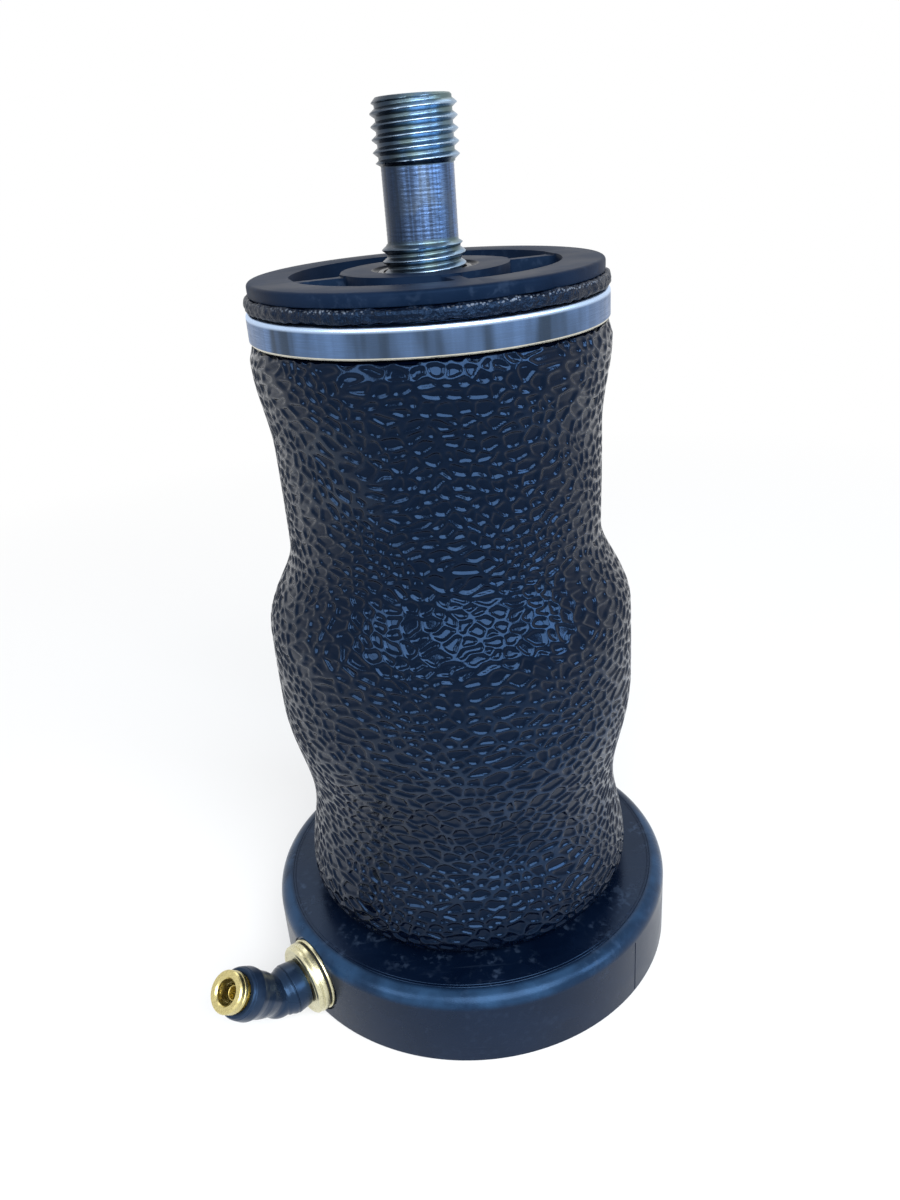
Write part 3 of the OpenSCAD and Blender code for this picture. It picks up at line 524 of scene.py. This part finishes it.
def cover_path():
    """The sleeve's outer side from its cut end down and round the lobe, in even steps."""
    path = [(39.7, 187.95), (41.2, 187.95), (41.8, 187.6), (42.1, 186.7), (42.1, 185.7), (41.8, 185.15),
            (39.9, 184.9), (39.9, 177.7), (41.6, 177.4)]
    rim_points = len(path)
    for (r0, z0), (r1, z1) in zip(SIDE, SIDE[1:]):
        path += [(r0 + (r1 - r0) * ease(k / 16), z0 + (z1 - z0) * k / 16) for k in range(16)]
    path += arc(LOBE_X, LOBE_Z, LOBE_R, 0, -180, 24)
    path = np.array(path)
    length = np.concatenate([[0], np.cumsum(np.hypot(*np.diff(path, axis=0).T))])
    at = np.linspace(0, length[-1], int(length[-1] / ROW_STEP))
    at = np.unique(np.concatenate([at, length[:rim_points]]))
    return np.interp(at, length, path[:, 0]), np.interp(at, length, path[:, 1]), at


def waves(rng, u, v, around, size, count):
    """Smooth noise of about one, that closes on itself round the sleeve."""
    total = np.zeros(np.broadcast(u, v).shape)
    for _ in range(count):
        laps = round(around / size * rng.uniform(-1.2, 1.2))
        total += np.sin(TURN * (laps * u / around + v / size * rng.uniform(-1.2, 1.2)) + rng.uniform(0, TURN))
    return total / math.sqrt(count / 2)


def grain(u, v, around, rng):
    """How far each point is inside its cell of the cover, in millimetres; below 0 where ridges meet."""
    wide, tall = around / CELLS, CELL_TALL
    rows = int(v.max() / tall) + 6
    seed_u = np.arange(CELLS)[None, :] + 0.5 * (np.arange(rows) % 2)[:, None]
    seed_u = (seed_u + rng.uniform(-0.4, 0.4, (rows, CELLS))) * wide
    seed_v = (np.arange(rows)[:, None] - 2.5 + rng.uniform(-0.42, 0.42, (rows, CELLS))) * tall
    weight = rng.uniform(-1.0, 1.0, (rows, CELLS))
    u = u + 1.2 * waves(rng, u, v, around, 26, 7) + 0.26 * waves(rng, u, v, around, 5, 7)
    v = v + 0.8 * waves(rng, u, v, around, 30, 7) + 0.22 * waves(rng, u, v, around, 5, 7)
    col, row = np.floor(u / wide).astype(int), np.clip(np.floor(v / tall).astype(int) + 2, 2, rows - 4)
    best = np.full(u.shape, 1e9)
    places = []
    for dr in range(-2, 4):
        for dc in range(-3, 4):
            r, c = np.clip(row + dr, 0, rows - 1), col + dc
            su = seed_u[r, c % CELLS] + np.floor_divide(c, CELLS) * around
            sv = seed_v[r, c % CELLS]
            cost = ((u - su) / wide) ** 2 + ((v - sv) / tall) ** 2 + 0.10 * weight[r, c % CELLS]
            places.append((su, sv, cost))
            best = np.minimum(best, cost)
    near_u, near_v = np.zeros(u.shape), np.zeros(u.shape)
    for su, sv, cost in places:
        hit = cost <= best
        near_u, near_v = np.where(hit, su, near_u), np.where(hit, sv, near_v)
    total = np.zeros(u.shape)
    for su, sv, cost in places:
        step = np.hypot((su - near_u) / wide ** 2, (sv - near_v) / tall ** 2)
        away = (cost - best) / (2 * np.maximum(step, 1e-9))
        total += np.where(step > 1e-6, np.exp(-CORNER_SHARP * away), 0)
    return -np.log(np.maximum(total, 1e-9)) / CORNER_SHARP


def sleeve():
    """The sleeve's outer side with its grain, closed by a plain inner side, and the leg inside it."""
    rng = np.random.default_rng(7)
    radius, height, at = cover_path()
    turn = turns(COLUMNS)
    around = TURN * MEAN_R
    u = np.broadcast_to(np.arange(COLUMNS) * around / COLUMNS, (len(at), COLUMNS)).copy()
    v = np.broadcast_to(at[:, None], u.shape).copy()
    gap = grain(u, v, around, rng)
    ridge = RIDGE + 0.05 * waves(rng, u, v, around, 14, 6)
    sunk = np.clip((gap - ridge) / WALL_RUN, 0, 1)

    # The grain leaves out the seat under the crimp ring and the cut end, and fades where the leg begins
    seat = (height < 184.95) & (height > 177.5)
    end = height > 185.0
    keep = np.where(seat | end, 0.0, 1.0)
    keep = np.minimum(keep, np.clip((at[-1] - at) / 6, 0, 1))
    slope_r, slope_z = np.gradient(radius, at), np.gradient(height, at)
    size = np.hypot(slope_r, slope_z)
    normal_r, normal_z = -slope_z / size, slope_r / size
    push = -(CELL_DEPTH * sunk) * keep[:, None]
    lump = 0.16 * waves(rng, u, v, around, 60, 5) * np.clip((174 - height) / 20, 0, 1)[:, None]
    lump *= np.clip((height - 40) / 20, 0, 1)[:, None]

    # The cut end is torn, with a smooth raised bar on it
    torn = 0.10 * waves(rng, u, v, around, 2.4, 9) + 0.07 * waves(rng, u, v, around, 11, 5)
    bar_off = np.abs((turn - TAB_TURN + math.pi) % TURN - math.pi) * TAB_R
    bar = np.clip((TAB_LONG / 2 - bar_off) / 0.6, 0, 1)[None, :]
    bar = bar * np.clip((0.75 - np.abs(height - TAB_Z)) / 0.4, 0, 1)[:, None]
    push += (torn * (1 - bar) + 0.28 * bar) * end[:, None]
    rr = radius[:, None] + (push + lump) * normal_r[:, None]
    zz = height[:, None] + push * normal_z[:, None]
    rows = [(rr[i], zz[i]) for i in range(len(at))]
    inner = arc(LOBE_X, LOBE_Z, LOBE_R - RUBBER_WALL, -180, 0, 8)
    for (r0, z0), (r1, z1) in zip(SIDE[::-1], SIDE[-2::-1]):
        inner += [(r0 + (r1 - r0) * ease(k / 6) - RUBBER_WALL, z0 + (z1 - z0) * k / 6) for k in range(1, 7)]
    inner += [(37.3, 177.7), (37.3, 184.6), (39.4, 186.0), (39.4, 187.6)]
    rows += [(np.full(COLUMNS, r), z) for r, z in inner]

    verts = np.zeros((len(rows), COLUMNS, 3))
    for i, (r, z) in enumerate(rows):
        verts[i, :, 0], verts[i, :, 1], verts[i, :, 2] = r * np.cos(turn), r * np.sin(turn), z
    low = np.arange(len(rows))[:, None] * COLUMNS + np.arange(COLUMNS)[None, :]
    side = np.roll(low, -1, axis=1)
    up, up_side = np.roll(low, -1, axis=0), np.roll(side, -1, axis=0)
    quads = np.stack([low, up, up_side, side], axis=-1).reshape(-1, 4)
    mesh = bpy.data.meshes.new("sleeve_cover")
    mesh.vertices.add(verts.size // 3)
    mesh.vertices.foreach_set("co", (verts * MM).ravel())
    mesh.loops.add(quads.size)
    mesh.loops.foreach_set("vertex_index", quads.ravel().astype(np.int32))
    mesh.polygons.add(len(quads))
    mesh.polygons.foreach_set("loop_start", np.arange(0, quads.size, 4, dtype=np.int32))
    mesh.update(calc_edges=True)
    line = np.clip(1 - np.abs(height - CORD_Z) / 0.45, 0, 1) * (radius > 40.5)
    looks = {"relief": (1 - sunk) * keep[:, None], "cut": end[:, None], "cord": line[:, None] * (1 - bar)}
    for key, values in looks.items():
        tone = np.zeros((len(rows), COLUMNS), np.float32)
        tone[:len(at)] = values
        mesh.attributes.new(key, "FLOAT", "POINT").data.foreach_set("value", tone.ravel())
    cover = thing("sleeve_cover", mesh)
    cover.data.materials.append(FINISH["sleeve_rubber"])
    cover.data.shade_smooth()
    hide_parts("rubber_sleeve")
    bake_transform(cover)

    leg = [(LEG_OUT, LOBE_Z), (LEG_OUT, 62.95), (34.15, 65), (34.15, 72.7, 0.3),
           (31.55, 72.7, 0.3), (31.55, 65), (LEG_IN, 62.95), (LEG_IN, LOBE_Z)]
    lathe("sleeve_inner_leg", leg, "sleeve_rubber", "base", "rubber_sleeve", columns=160)


# Stud

HEX_FLAT, HEX_CHAMFER, HEX_LOW, HEX_HIGH = 14.3, 14.4, 171.0, 180.0
THREAD_STEP = 0.13


def stud():
    """The stud with its hexagon head inside the cap, two stretches of thread and the relief shank between."""
    columns = 192
    turn = turns(columns)

    def screw(z, lead):
        phase = (z / PITCH - turn / TURN + lead) % 1.0
        t = np.clip((np.abs(phase - 0.5) * 2 - 0.26) / 0.66, 0, 1)
        return ROOT + (CREST - ROOT) * t

    def ring(radius, z):
        return np.full(columns, radius), z

    hexagon = HEX_FLAT / np.cos((turn % (TURN / 6)) - TURN / 12)
    rows = [(0.0, HEX_LOW)]
    for inset in (0.0, 0.6, 1.2):
        rows.append((np.minimum(hexagon, HEX_CHAMFER + inset * 1.7), HEX_LOW + inset))
    for inset in (1.2, 0.6, 0.0):
        rows.append((np.minimum(hexagon, HEX_CHAMFER + inset * 1.7), HEX_HIGH - inset))
    rows += [ring(CREST, HEX_HIGH), ring(CREST, 189.4)]
    for z in np.arange(*LOW_THREAD, THREAD_STEP):
        fade = CREST - (CREST - SHANK) * np.clip((z - 195.5) / 0.9, 0, 1)
        rows.append((np.minimum(screw(z, 0.70), fade), z))
    for z in np.arange(LOW_THREAD[1] + 0.1, HIGH_THREAD[0] - 0.1, 0.25):
        rows.append(ring(SHANK + 0.012 * math.sin(z * 19) + 0.01 * math.sin(z * 7.7), z))
    for z in np.arange(HIGH_THREAD[0], HIGH_THREAD[1] + 0.01, THREAD_STEP):
        low = CREST - (CREST - SHANK) * np.clip((213.2 - z) / 0.8, 0, 1)
        high = CREST - np.clip((z - 224.4) / 1.6, 0, 1) * 1.5
        rows.append((np.minimum(screw(z, 0.784), np.minimum(low, high)), min(z, HIGH_THREAD[1])))
    rows += [ring(7.6, 226.0), ring(3.0, 225.96), (0.0, 225.95)]
    finish_piece(thing("stud_threaded", revolve(rows, columns, close=False)), "zinc_steel", "cap", "stud", sharp=60)


# End cap and crimp ring

RIM_R, RIB_WALL, RIB_DROP, RIBS, RIB_TURN, POCKET_FLOOR = 31.4, 3.0, 0.5, 4, 16, 180.0


def pocket(out_r, in_r, wall, corner, step):
    """Outline of a space between two ribs, with rounded corners, from the first rib onwards."""
    out_a = math.degrees(math.asin((wall / 2 + corner) / (out_r - corner)))
    in_a = math.degrees(math.asin((wall / 2 + corner) / (in_r + corner)))

    def round_at(r, a, a0, a1):
        rad = math.radians(a)
        return arc(r * math.cos(rad), r * math.sin(rad), corner, a0, a1, 6)

    return (round_at(out_r - corner, out_a, -90, out_a) + arc(0, 0, out_r, out_a, step - out_a, 36)[1:-1]
            + round_at(out_r - corner, step - out_a, step - out_a, step + 90)
            + round_at(in_r + corner, step - in_a, step + 90, step - in_a + 180)
            + arc(0, 0, in_r, step - in_a, in_a, 24)[1:-1]
            + round_at(in_r + corner, in_a, in_a + 180, 270))


def end_cap():
    """The cap with its grooved seat, and a hub and a rim between which four ribs stand a little lower."""
    profile = [
        (0, 173.0), (HUB_R - 1, 173.0), (HUB_R, 174.0), (HUB_R, 176.5, 0.8), (33.0, 176.5, 0.8), (33.0, 174.0, 0.4),
        (35.5, 174.0), (37.0, 175.5), (36.4, 178.0), (37.0, 179.76), (36.4, 180.2), (37.0, 181.96),
        (36.4, 182.4), (37.0, 184.16), (37.0, 184.9), (39.1, 186.3), (39.1, 188.0), (40.9, 188.0, 0.25),
        (CAP_R, 189.2), (CAP_R, CAP_TOP, 0.95), (SEAL_R, CAP_TOP, 0.3), (12.1, 190.5, 0.2), (11.2, 190.3, 0.2),
        (10.6, 190.6, 0.2), (9.62, 190.5), (9.62, 176.0), (0, 176.0)
    ]
    cap = thing("end_cap_ribbed", revolve(rounded(profile, 5), 192))
    share = 360 // RIBS
    shape = pocket(RIM_R, HUB_R, RIB_WALL, 2.0, share)
    cutters = [prism(turned_by(shape, RIB_TURN + share * i), POCKET_FLOOR, 200) for i in range(RIBS)]
    lowered = CAP_TOP - RIB_DROP
    step = revolve([(RIM_R - 0.3, lowered), (RIM_R - 0.3, 195), (HUB_R + 0.3, 195), (HUB_R + 0.3, lowered)], 192)
    combine(cap, [thing("step", step), joined(cutters)], "DIFFERENCE")
    soften(cap, 0.4, angle=50)
    finish_piece(cap, "cap_nylon", "cap", "end_cap", sharp=30)


def crimp_ring():
    """The swaged ring is very slightly lobed, which breaks up what it mirrors."""
    rng = np.random.default_rng(3)
    columns = 360
    turn = turns(columns)
    sizes = ((5, 0.03), (9, 0.022), (14, 0.014), (23, 0.006))
    lobes = sum(size * np.sin(count * turn + rng.uniform(0, TURN)) for count, size in sizes)
    outline = rounded([(40.2, RING_LOW), (41.8, RING_LOW, 0.1), (RING_R, RING_LOW + 0.4, 0.15),
                       (RING_R, RING_HIGH, RING_CURL), (40.2, RING_HIGH, 0.3)], 8)
    rows = [(r + (lobes if r > 41 else 0 * lobes), z) for r, z in outline]
    finish_piece(thing("upper_crimp_ring_swaged", revolve(rows, columns)), "crimp_aluminium", "cap",
                 "upper_crimp_ring", sharp=50)


# Base disc

POCKETS, RIB_HALF, PORT_HALF = 12, 1.25, 9.0
SPIGOT_R, SPIGOT_TOP, GROOVE_R = 29.45, 26.2, 27.0
SEAM_TURN = math.radians(-42)


def base_disc():
    """The disc with its rounded edge, a ribbed underside and the spigot that the piston stands round."""
    side_top = BASE_TOP - BASE_FILLET
    outer = [(0, 0), (BASE_R - 0.6, 0), (BASE_R, 0.6), (BASE_R, side_top)]
    outer += arc(BASE_R - BASE_FILLET, side_top, BASE_FILLET, 4, 88, 21)
    lines = [(53.75, 0), (53.62, 0.15), (53.5, 0.15), (53.38, 0), (52.9, 0), (52.82, 0.08), (52.7, 0.08), (52.62, 0)]
    outer += [(r, BASE_TOP - deep) for r, deep in lines]
    outer += [(SPIGOT_R, BASE_TOP), (SPIGOT_R, 23.0), (GROOVE_R, 23.0), (GROOVE_R, 25.5), (SPIGOT_R, 25.5),
              (SPIGOT_R, 26.0), (SPIGOT_R - 0.2, SPIGOT_TOP), (26.15, SPIGOT_TOP), (26.15, BASE_TOP), (0, BASE_TOP)]
    disc = thing("base_disc_moulded", revolve(outer, 256))

    # Two rings of pockets; the inner ring leaves out the two beside the port, where the outer ones are cut short
    cutters = []
    port, step = math.degrees(PORT_AZIMUTH), 360 // POCKETS
    for i in range(POCKETS):
        for inner_r, outer_r in ((15.0, 31.0), (33.5, 53.5)):
            if i in (0, POCKETS - 1) and inner_r < 20:
                continue
            walls = PORT_HALF if i == 0 else RIB_HALF, PORT_HALF if i == POCKETS - 1 else RIB_HALF
            (out_first, out_last), (in_first, in_last) = (
                [math.degrees(math.asin(wall / r)) for wall in walls] for r in (outer_r, inner_r))
            shape = arc(0, 0, outer_r, out_first, step - out_last, 10)
            shape += arc(0, 0, inner_r, step - in_last, in_first, 10)
            cutters.append(prism(turned_by(shape, port + step * i), -1, side_top))
    holes = [thing("hole", revolve([(0, -1), (10.05, -1), (10.05, 16.05), (0, 16.05)], 96)),
             thing("hole", revolve([(0, -0.1), (10.6, -0.1), (10.6, 30), (0, 30)], 96, at_port(PORT_SEAT)))]
    combine(disc, [joined(cutters)] + holes, "DIFFERENCE")
    along = np.array([math.cos(SEAM_TURN), math.sin(SEAM_TURN)])
    across = np.array([-math.sin(SEAM_TURN), math.cos(SEAM_TURN)]) * 0.18
    foot = [tuple(along * r + across * s) for r, s in ((57.2, -1), (57.62, -0.5), (57.62, 0.5), (57.2, 1))]
    combine(disc, [prism(foot, 0.9, 17.8, "seam")], "UNION")
    finish_piece(disc, "black_nylon", "base", "base_disc", sharp=32)


# Air port and elbow


def air_port():
    insert = [(5.15, -14), (7.0, -14, 0.4), (7.0, 0), (9.8, 0, 0.1), (10.0, 0.2, 0.1), (10.0, INSERT_RIM, 0.2),
              (5.15, INSERT_RIM)]
    lathe("port_insert_rim", insert, "brass", "base", "port_insert", place=at_port(PORT_SEAT), columns=144,
          look="pale_brass")
    gasket = [(5.15, 0), (9.2, 0, 0.1), (9.35, GASKET / 2, 0.1), (9.2, GASKET, 0.1), (5.15, GASKET)]
    lathe("port_gasket_ring", gasket, "seal_rubber", "base", "port_gasket", place=at_port(PORT_SEAT + INSERT_RIM))
    stem = [
        (2.5, -11), (4.7, -11, 0.2), (5.1, -10.5), (5.1, 0), (9.55, 0, 0.1), (9.8, 0.25, 0.1), (9.8, 1.45, 0.18),
        (9.5, 1.55, 0.06), (9.45, 1.75, 0.06), (9.62, 1.85, 0.06), (9.6, 2.55, 0.15), (9.15, 3.0, 0.12),
        (8.3, 3.0, 0.06), (8.2, 2.92, 0.06), (7.6, 2.92, 0.06), (7.5, 3.0, 0.06), (4.5, 3.0), (4.5, 5.4, 0.1),
        (2.7, 5.4, 0.1), (2.7, 7.2, 0.1), (4.5, 7.2, 0.1), (4.5, 9.3), (4.2, 9.6, 0.1), (2.5, 9.6)
    ]
    lathe("port_stem_flanged", stem, "brass", "base", "port_stem", place=at_port(FLANGE_SEAT), columns=160,
          look="pale_brass")


def elbow():
    """The elbow: two turned legs that meet in a ball, with the swivel's socket, and what is in its mouth."""
    columns = 120
    post = rounded([
        (0, 0), (6.15, 0, 0.2), (6.4, 0.25, 0.2), (6.85, 3.95, 0.2), (6.5, 4.1, 0.05), (6.5, 4.25, 0.05),
        (6.68, 4.35, 0.1), (6.6, 4.85, 0.3), (6.12, 5.75, 0.5), (6.0, 6.5, 0.5), (5.35, 7.3, 0.3), (5.3, 7.7),
        (0, 7.7)
    ], 3)
    ball = [(0.0, -KNEE_R)] + arc(0, 0, KNEE_R, -90, 90, 32)[1:-1] + [(0.0, KNEE_R)]
    mouth = rounded([
        (0, 0), (5.3, 0), (5.3, 3.3, 2), (5.72, 5.1, 2), (6.08, 7.0, 2), (6.12, 8.2, 2), (6.3, 9.6, 2),
        (6.72, 11.1, 1.5), (6.9, 12.0, 0.8), (6.78, 13.2, 1), (6.55, 14.75, 0.1), (6.38, 14.82, 0.05),
        (6.36, 14.98, 0.05), (6.48, 15.05, 0.08), (6.1, SOCKET_FACE, 0.12), (5.1, SOCKET_FACE, 0.1),
        (SOCKET_R, 15.4, 0.1), (SOCKET_R, 8.0), (3.235, 8.0), (3.235, 5.0), (2.2, 5.0), (2.2, 3.0), (0, 3.0)
    ], 3)
    socket = [(0, -0.4), (POST_R, -0.4), (POST_R, 6.6), (2.2, 6.6), (2.2, 7.0), (0, 7.0)]
    body = thing("elbow_moulded", revolve(post, columns, at_port(ELBOW_START)))
    knee = thing("knee", revolve(ball, columns, at_leg(0), close=False))
    combine(body, [knee, thing("leg", revolve(mouth, columns, at_leg(0)))], "UNION")
    combine(body, [thing("socket", revolve(socket, 96, at_port(ELBOW_START)))], "DIFFERENCE")
    finish_piece(body, "fitting_plastic", "elbow", "elbow_body", sharp=35)

    lathe("release_collet_turned", [
        (3.385, 11.925), (3.7, 11.925, 0.1), (3.95, 12.2, 0.1), (3.95, COLLET_BACK), (5.15, COLLET_BACK, 0.1),
        (5.4, 17.05, 0.12), (5.4, 17.85, 0.05), (5.28, 17.93, 0.04), (5.28, 18.1, 0.04), (5.4, 18.18, 0.05),
        (5.4, 19.2, 0.12), (5.05, COLLET_FACE, 0.1), (3.65, COLLET_FACE, 0.06), (3.235, 19.15, 0.08),
        (3.235, 17.1), (3.385, 16.95)
    ], "brass", "collet", "release_collet", place=at_leg(0))
    lathe("tube_support_turned", [
        (1.6, 5.05), (3.0, 5.05, 0.1), (3.175, 5.3), (3.175, 5.85, 0.1), (1.95, 5.85, 0.1), (1.95, 16.3),
        (1.85, 16.6, 0.05), (1.7, 16.6, 0.05), (1.6, 16.4)
    ], "brass", "elbow", "tube_support", place=at_leg(0), columns=96)


# Building

sleeve()
stud()
end_cap()
crimp_ring()
base_disc()
air_port()
elbow()

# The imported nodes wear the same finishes
for part in frame["record"]["subparts"]:
    node = frame["nodes"][part["node"]]
    node.data.materials.clear()
    node.data.materials.append(FINISH[part["material_slot"]])
    node.data.shade_smooth()
    node.data.set_sharp_from_angle(angle=math.radians(30))


# Floor, light and camera


def plain(name, colour, share):
    """A pale surface that the camera and mirror rays see near white, with the shadows kept near the part."""
    mat = bpy.data.materials.new(name)
    mat.use_nodes = True
    n = Nodes(mat.node_tree)
    n.tree.nodes.clear()
    place = n.node("ShaderNodeTexCoord").outputs["Object"]
    far = n.node("ShaderNodeVectorMath", {0: place}, operation="LENGTH").outputs["Value"]
    fade = n.node("ShaderNodeMapRange", {0: far, 1: 0.1, 2: 0.55, 3: share, 4: 1.0}).outputs[0]
    lit = n.node("ShaderNodeBsdfDiffuse", {"Color": colour}).outputs[0]
    glow = n.node("ShaderNodeEmission", {"Color": (1, 1, 1), "Strength": 1.0}).outputs[0]
    mixed = n.node("ShaderNodeMixShader", {0: n.math("MULTIPLY", n.sees_white(), fade), 1: lit, 2: glow})
    n.node("ShaderNodeOutputMaterial", {"Surface": mixed.outputs[0]})
    return mat


FLOOR_HALF, FLOOR_Z = 4, -0.0002
floor_mesh = bpy.data.meshes.new("floor")
corners = [(x * FLOOR_HALF, y * FLOOR_HALF, FLOOR_Z) for x, y in ((-1, -1), (1, -1), (1, 1), (-1, 1))]
floor_mesh.from_pydata(corners, [], [(0, 1, 2, 3)])
floor = thing("floor", floor_mesh)
floor.data.materials.append(plain("floor", (0.84, 0.84, 0.84), 0.55))

world = bpy.data.worlds.new("studio")
bpy.context.scene.world = world
world.use_nodes = True
sky = Nodes(world.node_tree)
ground = sky.tree.nodes["Background"]
sky.set(ground, {"Color": (0.93, 0.96, 1.0), "Strength": 0.35})
white = sky.node("ShaderNodeBackground", {"Color": (1, 1, 1), "Strength": 1.0})
seen = sky.node("ShaderNodeMixShader", {0: sky.sees_white(), 1: ground.outputs[0], 2: white.outputs[0]})
sky.set(sky.tree.nodes["World Output"], {"Surface": seen.outputs[0]})


def lamp(name, where, at, size, power, colour=(1, 1, 1)):
    """A rectangular lamp at one place, turned to another."""
    data = bpy.data.lights.new(name, "AREA")
    data.shape = "RECTANGLE"
    data.size, data.size_y = size
    data.energy, data.color = power, colour
    obj = bpy.data.objects.new(name, data)
    bpy.context.scene.collection.objects.link(obj)
    obj.location = where
    obj.rotation_euler = (Vector(at) - Vector(where)).to_track_quat("-Z", "Y").to_euler()


def towards(azimuth, elevation, distance, height=0.1):
    """A place seen from the object's middle, with azimuth measured from the camera's side to its right."""
    a, e = math.radians(azimuth - 90), math.radians(elevation)
    flat = distance * math.cos(e)
    return flat * math.cos(a), flat * math.sin(a), height + distance * math.sin(e)


COOL, BLUE = (0.94, 0.97, 1.0), (0.66, 0.84, 1.0)
lamp("box", towards(14, 34, 1.05), (0, 0, 0.1), (0.95, 0.7), 19.0, COOL)
lamp("key", towards(6, 48, 1.05), (0, 0, 0.1), (0.6, 0.12), 1.0, COOL)
lamp("left", towards(-45, 26, 1.1), (0, 0, 0.1), (0.35, 0.55), 4.0, COOL)
lamp("side", towards(62, 24, 1.1), (0, 0, 0.12), (0.25, 0.5), 4.5, BLUE)
lamp("back", towards(170, 50, 1.1), (0, 0, 0.15), (0.9, 0.4), 2.0)

# The camera that the photograph was taken with, solved from the object's ellipses
CAMERA_AT, LENS = (0.0004, -0.2325, 0.2148), 28.795
PAN, TILT, ROLL = math.radians(-0.152), math.radians(25.085), math.radians(-4.42)
camera_data = bpy.data.cameras.new("camera")
camera_data.sensor_width = 36
camera_data.lens = LENS
camera_data.clip_start = 0.01
camera = bpy.data.objects.new("camera", camera_data)
bpy.context.scene.collection.objects.link(camera)
ahead = Vector((math.sin(PAN) * math.cos(TILT), math.cos(PAN) * math.cos(TILT), -math.sin(TILT)))
right = ahead.cross(Vector((0, 0, 1))).normalized()
above = right.cross(ahead)
rolled_right = math.cos(ROLL) * right + math.sin(ROLL) * above
rolled_above = -math.sin(ROLL) * right + math.cos(ROLL) * above
facing = Matrix((rolled_right, rolled_above, -ahead)).transposed().to_4x4()
camera.matrix_world = Matrix.Translation(CAMERA_AT) @ facing
bpy.context.scene.camera = camera
bpy.context.scene.view_settings.view_transform = "Standard"
